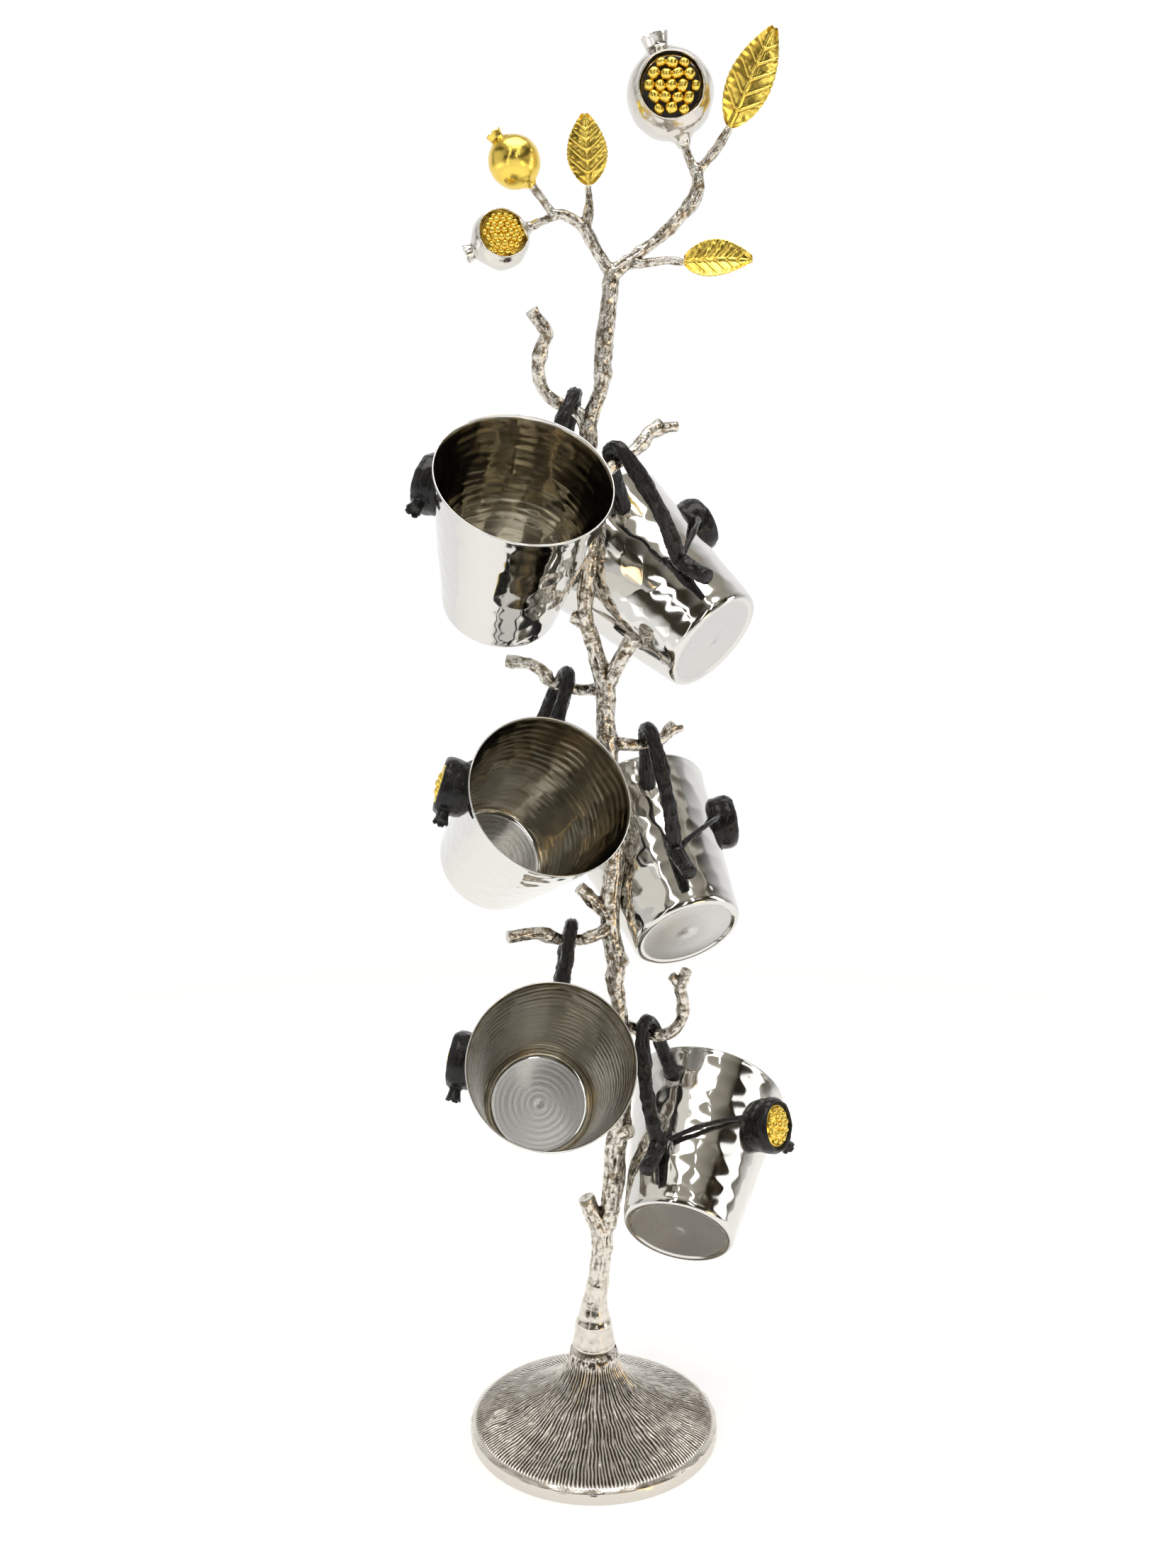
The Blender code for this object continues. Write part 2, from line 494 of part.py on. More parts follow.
def fruit_body(d):
    """A pomegranate standing on its stem, flared crown up."""
    r = d / 2
    points = [(0, r * 1.12), (r * 0.16, r * 1.1), (r * 0.3, r * 1.34), (r * 0.37, r * 1.32), (r * 0.27, r * 1.1),
              (r * 0.25, r * 0.99)]
    points += [(r * math.cos(a), r * math.sin(a)) for a in (math.radians(v) for v in range(60, -76, -20))]
    return turned_mesh(points + [(r * 0.16, -r * 0.99), (0, -r * 0.99)], 16)


def fruit(name, rod, d, mat, window=None, seed_name=None, seed_rows=()):
    """Seat a pomegranate on a rod's end; a window shows a bed of seeds."""
    r = d / 2
    end, way = past(rod)
    centre = end + way * r * 0.99
    mesh = fruit_body(d)
    mesh.transform(aim(way, centre))
    if window:
        normal, across = window
        depth = math.sqrt(r * r - across * across / 4) - 1.2 * MM
        hole = turned_mesh([(0, r * 1.5), (across / 2 + GAP, r * 1.5), (across / 2 + GAP, depth), (0, depth)], 20)
        hole.transform(aim(normal, centre))
        mesh = boolean(mesh, hole)
        floor = depth + GAP
        bed = turned_mesh([(0, floor + 1.9 * MM), (across * 0.28, floor + 1.5 * MM),
                           (across / 2 - 0.2 * MM, floor + 0.7 * MM), (across / 2 - 0.2 * MM, floor), (0, floor)], 18)
        seeds = []
        for count, ring, size in seed_rows:
            for k in range(count):
                a = 2 * math.pi * (k + 0.35 * len(seeds)) / count
                bm = bmesh.new()
                bmesh.ops.create_icosphere(bm, subdivisions=1, radius=size * across)
                ball = bpy.data.meshes.new("seed")
                bm.to_mesh(ball)
                bm.free()
                rise = floor + size * across + 0.1 * MM + 0.9 * MM * (1 - (2 * ring) ** 2)
                ball.transform(Matrix.Translation((across * ring * math.cos(a), across * ring * math.sin(a), rise)))
                seeds.append(ball)
        bed = boolean(bed, *seeds, op="UNION")
        bed.transform(aim(normal, centre))
        put(seed_name, bed, GILT)
    put(name, mesh, mat)
    return centre


fruit("pomegranate_big", right_fruit, BIG_D, PLATED, (Vector((0, -1, 0.02)), WINDOW_D), "seeds_big",
      [(1, 0.0, 0.09), (5, 0.2, 0.09), (9, 0.37, 0.085)])
fruit("pomegranate_gold", left_gold, GOLD_D, GILT)
fruit("pomegranate_small", left_small, SMALL_D, PLATED, (Vector((0.08, -1, 0.05)), SMALL_D * 0.7), "seeds_small",
      [(1, 0.0, 0.11), (5, 0.26, 0.11)])

# ---- foot: domed casting, hollow for the nut, with a felt pad under it -----------------------------
rim = FOOT_D / 2
neck = NECK_D / 2
share = (rim - neck) / 49           # the steps below are for a dome 49 mm from neck to rim
foot_profile = [(STUD_D / 2 + GAP, NECK_Z), (neck, NECK_Z), (neck + 0.3 * MM, NECK_Z - 4 * MM)]
for r_step, z in ((1.4, 0.78), (3.3, 0.68), (6.5, 0.555), (10, 0.46), (16, 0.352), (28, 0.2), (40, 0.085)):
    foot_profile.append((neck + r_step * share, FOOT_RIM_H + (NECK_Z - FOOT_RIM_H) * z))
foot_profile += [(rim - 1.4 * MM, FOOT_RIM_H + 0.5 * MM), (rim, FOOT_RIM_H - 1 * MM), (rim, 1.2 * MM),
                 (rim - 0.8 * MM, 0.3 * MM), (PAD_D / 2 + 0.5 * MM, 0.3 * MM), (PAD_D / 2 + 0.5 * MM, PAD_T + GAP)]
pocket = NUT_AF / 2 + 3 * MM
nut_seat = PAD_T + 8 * MM
foot_profile += [(pocket, PAD_T + GAP), (pocket, nut_seat), (STUD_D / 2 + GAP, nut_seat), (STUD_D / 2 + GAP, NECK_Z)]
put("base_foot", turned_mesh(foot_profile, 40), PLATED)
put("felt_pad", turned_mesh([(0, PAD_T), (PAD_D / 2, PAD_T), (PAD_D / 2, 0), (0, 0)], 40), FELT)
washer = [(STUD_D / 2 + GAP, nut_seat - GAP), (NUT_AF / 2 + 1.6 * MM, nut_seat - GAP),
          (NUT_AF / 2 + 1.6 * MM, nut_seat - GAP - 1 * MM), (STUD_D / 2 + GAP, nut_seat - GAP - 1 * MM)]
put("base_washer", turned_mesh(washer + [washer[0]], 20), ZINC)
nut_top = nut_seat - 2 * GAP - 1 * MM
nut = [(STUD_D / 2 + GAP, nut_top), (NUT_AF / 2 / math.cos(math.radians(30)), nut_top),
       (NUT_AF / 2 / math.cos(math.radians(30)), nut_top - NUT_T), (STUD_D / 2 + GAP, nut_top - NUT_T)]
nut_bore = turned_mesh([(0, nut_top + 9 * MM), (STUD_D / 2 + GAP, nut_top + 9 * MM),
                        (STUD_D / 2 + GAP, nut_top - 20 * MM), (0, nut_top - 20 * MM)], 16)
nut_body = turned_mesh([(0, nut_top)] + nut[1:3] + [(0, nut_top - NUT_T)], 6)
put("base_nut", boolean(nut_body, nut_bore), ZINC)
stud_top = NECK_Z + STUD_DEPTH
put("base_stud", turned_mesh([(0, stud_top), (STUD_D / 2 - 0.5 * MM, stud_top), (STUD_D / 2, stud_top - 0.7 * MM),
                              (STUD_D / 2, PAD_T + GAP + 0.6 * MM), (0, PAD_T + GAP + 0.6 * MM)], 16), ZINC)

# ---- hang the mugs ---------------------------------------------------------------------------------
for name in ORDER:
    hang = bpy.data.objects.new("hang_" + name, None)
    hang.empty_display_size = 0.02
    TREE.objects.link(hang)
    hang.matrix_world = Matrix.Translation(seats[name]) @ mug_turn(name)
    for piece, mesh, mat in (("cup", cup_mesh, STEEL), ("handle", handle_mesh, BLACK), ("twig", twig_mesh, BLACK),
                             ("pomegranate", fruit_mesh, BLACK), ("seeds", seeds_mesh, GILT)):
        put(f"{piece}_{name}", mesh, mat, where=-SEAT, parent=hang)

for leftover in list(CUTS.objects):
    bpy.data.objects.remove(leftover)
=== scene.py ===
import itertools
import math

import bpy
import numpy as np
from mathutils import Matrix, Vector


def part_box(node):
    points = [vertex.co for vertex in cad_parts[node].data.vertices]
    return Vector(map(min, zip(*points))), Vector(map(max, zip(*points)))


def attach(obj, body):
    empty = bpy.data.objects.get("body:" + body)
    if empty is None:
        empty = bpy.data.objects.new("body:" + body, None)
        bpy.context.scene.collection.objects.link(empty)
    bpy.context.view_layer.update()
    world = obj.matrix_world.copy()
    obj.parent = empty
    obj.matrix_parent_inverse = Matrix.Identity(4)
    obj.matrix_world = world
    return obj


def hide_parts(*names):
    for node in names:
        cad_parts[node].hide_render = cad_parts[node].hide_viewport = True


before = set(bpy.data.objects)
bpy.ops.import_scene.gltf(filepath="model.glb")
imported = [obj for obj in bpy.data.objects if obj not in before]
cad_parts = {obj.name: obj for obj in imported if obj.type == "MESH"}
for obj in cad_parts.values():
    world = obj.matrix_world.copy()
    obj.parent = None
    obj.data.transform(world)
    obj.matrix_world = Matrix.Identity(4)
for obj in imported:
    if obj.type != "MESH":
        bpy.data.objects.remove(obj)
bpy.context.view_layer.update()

# ====================================================================================================
# Foot. A domed disc cast in one piece, its top carved with fine wavy grooves that run outwards like the
# gills of a mushroom, its rim turned and polished. The whole casting is nickel plated, and the grooves
# are darkened before the last polish; their dark colour is that patina and also painted shade.
# ====================================================================================================
MM = 0.001


def lumps(points, size, seed):
    """Smooth noise from -1 to 1 at points, with lumps of about the given size."""
    table = np.random.default_rng(seed).uniform(-1, 1, (32, 32, 32))
    q = np.asarray(points, dtype=float) / size
    cell = np.floor(q).astype(int)
    t = q - cell
    t = t * t * (3 - 2 * t)
    total = np.zeros(q.shape[:-1])
    for corner in itertools.product((0, 1), repeat=3):
        weight = np.ones(q.shape[:-1])
        for axis, side in enumerate(corner):
            weight = weight * (t[..., axis] if side else 1 - t[..., axis])
        i, j, k = [(cell[..., axis] + corner[axis]) % 32 for axis in range(3)]
        total = total + weight * table[i, j, k]
    return total


def grid_faces(rows, columns):
    """Quads of a grid that closes round its columns."""
    row, column = np.meshgrid(np.arange(rows - 1), np.arange(columns), indexing="ij")
    a = row * columns + column
    b = row * columns + (column + 1) % columns
    return np.stack([a, b, b + columns, a + columns], axis=-1).reshape(-1, 4)


def piece(name, grid, materials, caps=(True, True)):
    """A mesh from rings of points, each ring closed, with a fan over an end that is capped."""
    rows, columns = grid.shape[:2]
    points = [tuple(p) for p in grid.reshape(-1, 3)]
    faces = [tuple(f) for f in grid_faces(rows, columns)]
    for capped, start, turn in ((caps[0], 0, 1), (caps[1], (rows - 1) * columns, -1)):
        if capped:
            points.append(tuple(grid[0 if start == 0 else -1].mean(axis=0)))
            hub = len(points) - 1
            for k in range(columns):
                edge = (start + k, start + (k + 1) % columns)
                faces.append((hub, edge[1], edge[0]) if turn == 1 else (hub, edge[0], edge[1]))
    mesh = bpy.data.meshes.new(name)
    mesh.from_pydata(points, [], faces)
    mesh.calc_loop_triangles()
    corners = np.empty(len(mesh.loop_triangles) * 3, dtype=np.int64)
    mesh.loop_triangles.foreach_get("vertices", corners)
    a, b, c = np.array(points)[corners].reshape(-1, 3, 3).transpose(1, 0, 2)
    if (np.cross(a, b) * c).sum() < 0:
        mesh.flip_normals()
    mesh.shade_smooth()
    for material in materials:
        mesh.materials.append(material)
    obj = bpy.data.objects.new(name, mesh)
    bpy.context.scene.collection.objects.link(obj)
    return obj


def shader(name, colour, metallic, roughness):
    """A material with its Principled shader, and the tree to add nodes to."""
    material = bpy.data.materials.new(name)
    material.use_nodes = True
    tree = material.node_tree
    surface = tree.nodes["Principled BSDF"]
    surface.inputs["Base Color"].default_value = (*colour, 1)
    surface.inputs["Metallic"].default_value = metallic
    surface.inputs["Roughness"].default_value = roughness
    return material, tree, surface


def noise_into(tree, socket, scale, stops, detail=4, stretch=(1, 1, 1), distortion=0.0):
    """Drive a socket from object-space noise through a colour ramp of (position, value) stops."""
    where = tree.nodes.new("ShaderNodeTexCoord")
    mapping = tree.nodes.new("ShaderNodeMapping")
    mapping.inputs["Scale"].default_value = stretch
    grain = tree.nodes.new("ShaderNodeTexNoise")
    grain.inputs["Scale"].default_value = scale
    grain.inputs["Detail"].default_value = detail
    grain.inputs["Distortion"].default_value = distortion
    ramp = tree.nodes.new("ShaderNodeValToRGB")
    while len(ramp.color_ramp.elements) < len(stops):
        ramp.color_ramp.elements.new(0.5)
    for element, (position, value) in zip(ramp.color_ramp.elements, stops):
        element.position = position
        element.color = (value, value, value, 1) if isinstance(value, (int, float)) else (*value, 1)
    tree.links.new(where.outputs["Object"], mapping.inputs["Vector"])
    tree.links.new(mapping.outputs["Vector"], grain.inputs["Vector"])
    tree.links.new(grain.outputs["Fac"], ramp.inputs["Fac"])
    if socket is not None:
        tree.links.new(ramp.outputs["Color"], socket)
    return ramp.outputs["Color"]


def rough_bump(tree, surface, scale, distance, strength=0.5, detail=4, stretch=(1, 1, 1)):
    """Fine surface relief from noise."""
    height = noise_into(tree, None, scale, ((0.3, 0.0), (0.7, 1.0)), detail, stretch)
    bump = tree.nodes.new("ShaderNodeBump")
    bump.inputs["Strength"].default_value = strength
    bump.inputs["Distance"].default_value = distance
    tree.links.new(height, bump.inputs["Height"])
    tree.links.new(bump.outputs["Normal"], surface.inputs["Normal"])
    return bump


def hollow_shade(tree, surface, bright, dark, low, high):
    """Plating that stays bright on the ridges and goes dark where the mesh says it is hollow: painted shade in
    the hollows, which on the nickel also stands for its darkened patina.
    """
    hollow = tree.nodes.new("ShaderNodeAttribute")
    hollow.attribute_name = "hollow"
    ramp = tree.nodes.new("ShaderNodeValToRGB")
    ramp.color_ramp.elements[0].position = low
    ramp.color_ramp.elements[0].color = (*bright, 1)
    ramp.color_ramp.elements[1].position = high
    ramp.color_ramp.elements[1].color = (*dark, 1)
    tree.links.new(hollow.outputs["Fac"], ramp.inputs["Fac"])
    tree.links.new(ramp.outputs["Color"], surface.inputs["Base Color"])
    return hollow


def mark_hollow(obj, spread=0.00012, passes=2):
    """Store on each vertex how far it lies below its neighbours, 0 on a ridge to 1 in a hollow."""
    mesh = obj.data
    count = len(mesh.vertices)
    points = np.empty(count * 3)
    normals = np.empty(count * 3)
    edges = np.empty(len(mesh.edges) * 2, dtype=np.int64)
    mesh.vertices.foreach_get("co", points)
    mesh.vertices.foreach_get("normal", normals)
    mesh.edges.foreach_get("vertices", edges)
    points, normals, edges = points.reshape(-1, 3), normals.reshape(-1, 3), edges.reshape(-1, 2)
    degree = np.bincount(edges.ravel(), minlength=count)[:, None]

    def average(values):
        total = np.zeros_like(values)
        for axis in range(values.shape[1]):
            total[:, axis] = np.bincount(edges[:, 0], values[edges[:, 1], axis], count)
            total[:, axis] += np.bincount(edges[:, 1], values[edges[:, 0], axis], count)
        return total / np.maximum(degree, 1)

    around = points
    for _ in range(passes * 2):
        around = average(around)
    depth = ((around - points) * normals).sum(axis=1, keepdims=True)
    for _ in range(passes):
        depth = average(depth)
    hollow = np.clip(0.5 + depth[:, 0] / spread / 2, 0, 1)
    mesh.attributes.new("hollow", "FLOAT", "POINT").data.foreach_set("value", hollow)


foot_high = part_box("base_foot")[1]
foot_r = foot_high[0] / MM
neck_z = foot_high[2] / MM
neck_r = 11.0
rim_z = 6.6
pad_r = 54.6  # recess of the felt pad
pad_z = 1.9
groove_reach = 7.5
groove_depth = 0.34

plating, tree, surface = shader("nickel_plate_grooved", (0.72, 0.69, 0.63), 1.0, 0.22)
# dark in the grooves: partly the real patina, partly painted shade
hollow_shade(tree, surface, (0.70, 0.66, 0.60), (0.07, 0.055, 0.04), 0.40, 0.66)
noise_into(tree, surface.inputs["Roughness"], 260, ((0.3, 0.16), (0.7, 0.30)))
rough_bump(tree, surface, 1400, 0.00006, 0.4)

around = 1500
angle = np.linspace(0, 2 * math.pi, around, endpoint=False)
# the profile: neck, sweep, dome, rim, underside edge
dome = []
for t in np.linspace(0, 1, 150):
    r = neck_r + 0.3 + (foot_r - neck_r - 2.0) * t ** 1.35
    share = (r - neck_r) / (foot_r - neck_r)
    rise = np.interp(share, [0, .03, .067, .13, .2, .33, .57, .8, .95, 1],
                     [1, .78, .68, .555, .46, .352, .2, .1, .025, 0])
    dome.append((r, rim_z + (neck_z - rim_z) * rise))
dome = np.array(dome)
for _ in range(6):
    dome[1:-1] = (dome[:-2] + 2 * dome[1:-1] + dome[2:]) / 4
rings = []
hollows = []
# how many grooves run round the foot at each radius
bands = [(14, 58), (21, 84), (30, 116), (41, 156), (54, 204)]
for step, (r, z) in enumerate(dome):
    where = np.stack([r * np.cos(angle), r * np.sin(angle), np.full(around, z)], axis=1)
    sway = 4.6 * lumps(where, 17, 11) + 2.2 * lumps(where, 6, 12) + 0.7 * lumps(where, 2.6, 19)
    weights = [math.exp(-((r - middle) / groove_reach) ** 2) for middle, _ in bands]
    wave = np.zeros(around)
    for weight, (middle, number) in zip(weights, bands):
        wave += weight / sum(weights) * np.cos(number * angle + sway + middle)
    groove = groove_depth * wave + 0.10 * lumps(where, 2.2, 13)
    pits = 0.34 * lumps(where, 1.5, 14) + 0.26 * lumps(where, 0.8, 15)
    rough = np.clip((z - (neck_z - 9)) / 5, 0, 1)
    lump = 0.5 * lumps(where, 14, 16) * np.clip((r - 16) / 10, 0, 1) * np.clip((foot_r - 3 - r) / 6, 0, 1)
    edge = np.clip((len(dome) - 1 - step) / 5, 0, 1)
    top = np.clip((neck_z - z) / 0.8, 0, 1)
    relief = ((1 - rough) * groove + rough * pits) * edge * top + lump
    nudge = np.stack([np.cos(angle), np.sin(angle), np.zeros(around)], axis=1)
    before, after = dome[max(step - 1, 0)], dome[min(step + 1, len(dome) - 1)]
    slope = math.atan2(before[1] - after[1], after[0] - before[0])
    up = np.array([0, 0, 1.0])
    rings.append(where + relief[:, None] * (nudge * math.sin(slope) + up * math.cos(slope)))
    hollows.append(0.5 - ((1 - rough) * groove + rough * pits) * edge * top / 0.9 - 0.25 * (1 - edge * top))
wobble = 0.3 * lumps(np.stack([foot_r * np.cos(angle), foot_r * np.sin(angle), angle * 0], axis=1), 5, 17)
for r, z in ((foot_r - 0.9, rim_z - 0.1), (foot_r - 0.3, rim_z - 0.5),
             (foot_r - 0.05, rim_z - 1.0), (foot_r, rim_z - 1.5)):
    r = r + wobble * 0.8
    rings.append(np.stack([r * np.cos(angle), r * np.sin(angle), np.full(around, z) + wobble], axis=1))
edge = np.stack([60 * np.cos(angle), 60 * np.sin(angle), angle * 0], axis=1)
crack = np.clip(lumps(edge, 0.7, 18) - 0.55, 0, 1)
for z, cut in ((4.6, 0.2), (3.8, 0.5), (2.2, 0.5), (1.3, 0.3), (0.9, 0)):
    r = foot_r - crack * cut
    rings.append(np.stack([r * np.cos(angle), r * np.sin(angle), np.full(around, z)], axis=1))
for r, z in ((foot_r - 0.15, 0.55), (foot_r - 0.8, 0.3), (foot_r - 1.2, 0.3), (pad_r + 0.4, 0.3), (pad_r, 0.3),
             (pad_r, 0.6), (pad_r, 1.6), (pad_r, pad_z), (pad_r - 0.6, pad_z), (3.4, pad_z)):
    rings.append(np.stack([r * np.cos(angle), r * np.sin(angle), np.full(around, z)], axis=1))
foot = piece("foot_casting", np.array(rings) * MM, [plating], caps=(True, True))
# how deep each vertex lies in a groove, which darkens it: patina and painted shade
shade = np.zeros(len(foot.data.vertices))
hollows = np.clip(np.array(hollows), 0, 1).ravel()
shade[:len(hollows)] = hollows
foot.data.attributes.new("hollow", "FLOAT", "POINT").data.foreach_set("value", shade)
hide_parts("base_foot")
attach(foot, "tree")

# ====================================================================================================
# Twig. Trunk, hooks, cut stubs and crown are lost-wax castings soldered into one plated branch: every
# limb has ridged bark, swells at its knots and ends in a flat saw cut. Modelled limb by limb as a rod
# whose bark runs along it, then run together as the solder does.
# ====================================================================================================
plated_bark, tree, surface = shader("nickel_plate_bark", (0.78, 0.75, 0.69), 1.0, 0.14)
# dark in the hollows of the bark: partly the real patina, partly painted shade
hollow_shade(tree, surface, (0.72, 0.68, 0.61), (0.10, 0.072, 0.048), 0.46, 0.70)
noise_into(tree, surface.inputs["Roughness"], 300, ((0.35, 0.10), (0.7, 0.26)))
bump = rough_bump(tree, surface, 520, 0.00035, 0.55)
where = tree.nodes.new("ShaderNodeTexCoord")
height = tree.nodes.new("ShaderNodeSeparateXYZ")
tree.links.new(where.outputs["Object"], height.inputs["Vector"])
for socket, most in ((bump.inputs["Strength"], 0.55), (None, 1.0)):
    polish = tree.nodes.new("ShaderNodeMapRange")
    polish.interpolation_type = "SMOOTHSTEP"
    polish.inputs["From Min"].default_value = 0.058
    polish.inputs["From Max"].default_value = 0.115
    polish.inputs["To Min"].default_value = most * 0.12
    polish.inputs["To Max"].default_value = most
    tree.links.new(height.outputs["Z"], polish.inputs["Value"])
    if socket:
        tree.links.new(polish.outputs["Result"], socket)
tarnish = tree.nodes.new("ShaderNodeMix")
tarnish.data_type = "RGBA"
tarnish.blend_type = "MULTIPLY"
tree.links.new(polish.outputs["Result"], tarnish.inputs["Factor"])
tree.links.new(surface.inputs["Base Color"].links[0].from_socket, tarnish.inputs["A"])
noise_into(tree, tarnish.inputs["B"], 330, ((0.38, (0.34, 0.29, 0.22)), (0.52, (1.0, 1.0, 1.0))), 3)
tree.links.new(tarnish.outputs["Result"], surface.inputs["Base Color"])


def smooth_route(points, step):
    """Even points (x, y, z, radius) on a smooth curve through a few given ones."""
    p = np.array(points, dtype=float)
    p = np.vstack([2 * p[0] - p[1], p, 2 * p[-1] - p[-2]])
    out = []
    for i in range(1, len(p) - 2):
        a, b, c, d = p[i - 1:i + 3]
        for t in np.arange(0, 1, step / max(np.linalg.norm((c - b)[:3]), step)):
            out.append(0.5 * (2 * b + (c - a) * t + (2 * a - 5 * b + 4 * c - d) * t * t
                              + (3 * b - a - 3 * c + d) * t ** 3))
    return np.array(out + [p[-2]])


def rod_rings(points, sides, step, seed, bark, knots=(), worn=(0, 1)):
    """Rings of a barked rod in mm: bark is (ridge depth, lump height), knots are (length along, swell,
    width), and worn is (length, share of the bark) for a start that is smoother."""
    line = smooth_route(points, step)
    middle, radius = line[:, :3], line[:, 3]
    tangent = np.gradient(middle, axis=0)
    tangent /= np.linalg.norm(tangent, axis=1, keepdims=True)
    along = np.concatenate([[0], np.cumsum(np.linalg.norm(np.diff(middle, axis=0), axis=1))])
    side = np.cross(tangent[0], (0.31, 0.94, 0.12))
    rings = []
    turn = np.linspace(0, 2 * math.pi, sides, endpoint=False)
    ridge, lump = bark
    for here, t, r, s in zip(middle, tangent, radius, along):
        side = side - t * side.dot(t)
        side /= np.linalg.norm(side)
        other = np.cross(t, side)
        out = np.cos(turn)[:, None] * side + np.sin(turn)[:, None] * other
        round_it = np.stack([r * np.cos(turn), r * np.sin(turn), np.zeros(sides)], axis=1)
        ridges = np.abs(lumps(round_it + [0, 0, s / 4.2], 1.5, seed))
        fine = np.abs(lumps(round_it + [7, 3, s / 2.6], 0.85, seed + 1))
        swell = lumps(round_it * 0.7 + [0, 0, s / 1.7], 3.4, seed + 2)
        bulge = 0
        for knot in knots:
            width = knot[2] if len(knot) > 2 else 2.2
            bulge += knot[1] * math.exp(-((s - knot[0]) / width) ** 2)
        keep = worn[1] + (1 - worn[1]) * min(1, max(0, s - worn[0]) / 25)
        relief = keep * (ridge * (0.35 - ridges) + 0.45 * ridge * (0.3 - fine))
        relief = relief + lump * swell * (0.4 + 0.6 * keep)
        ease = min(1.0, (along[-1] - s) / 0.8 + 0.25)
        rings.append(here + out * (r + bulge + relief * ease)[:, None])
    return np.array(rings)


# routes: x, y, z and radius in mm, from the root of each limb to its cut end
TRUNK = [(0, 0, 44.7, 10.3), (0, 0, 49, 9.9), (0, 0, 52, 9.4), (0, 0, 56.4, 8.8), (0, 0, 58, 7.9),
         (0.1, 0, 62, 7.2), (0.4, 0, 66, 6.3), (1.4, 0, 73.5, 5.2), (2.8, 0, 84, 4.8),
         (4.2, 0, 97, 4.9), (5, 0, 106.5, 4.9), (8, 0, 117, 5), (9.4, 0, 131.5, 5.2), (10.6, 0, 146, 5),
         (12.2, 0, 156, 4.9), (13.4, 0.5, 172, 4.2), (13.6, 1, 190, 3.8), (12.4, 1, 206, 3.8),
         (11.4, 1, 217, 3.5), (9.7, 0.5, 227, 3.7), (10.2, 0, 238, 4.3), (8.2, 0, 247, 4.2),
         (7.2, 0, 256, 4.3), (7.4, 0, 268, 4.2), (9, 0, 283, 4), (9.2, 0, 300, 4), (7.6, 0, 318, 4.1),
         (6.4, 0, 334, 4.3), (5.2, 0, 345, 4.3), (5, 0, 353, 4.1), (5.3, 0, 363.7, 4.5),
         (3.4, 0, 372, 4.4), (1, 0, 380, 3.8), (-1.6, -1.5, 388, 3.5), (-4, -2.4, 395, 3.5),
         (-4.2, -3.4, 406, 3.4), (-3, -4, 418, 3.4), (-1.8, -3.6, 430, 3.5), (-1.4, -2.2, 445, 3.6),
         (-1.6, -0.6, 460, 3.7), (-2.6, 0, 470, 3.8), (-2.4, 0, 481, 3.6), (0.6, 0, 490, 3.2),
         (2.8, 0, 497.5, 3.3), (3.8, 0, 506, 3.9), (4.6, 0, 518, 3.9), (5.6, 0, 529, 3.5),
         (6.6, 0, 536, 3.4), (7.1, 0, 542, 3.5), (8.6, 0, 545, 3.3), (14.8, 0, 550, 2.9),
         (21.8, 0, 554.9, 2.6), (28.9, -0.5, 560.2, 2.6), (35.8, -1, 566.9, 2.7),
         (42.4, -1, 574.9, 2.8), (44.2, -1, 581.4, 2.8), (43.6, -1, 587, 2.6)]
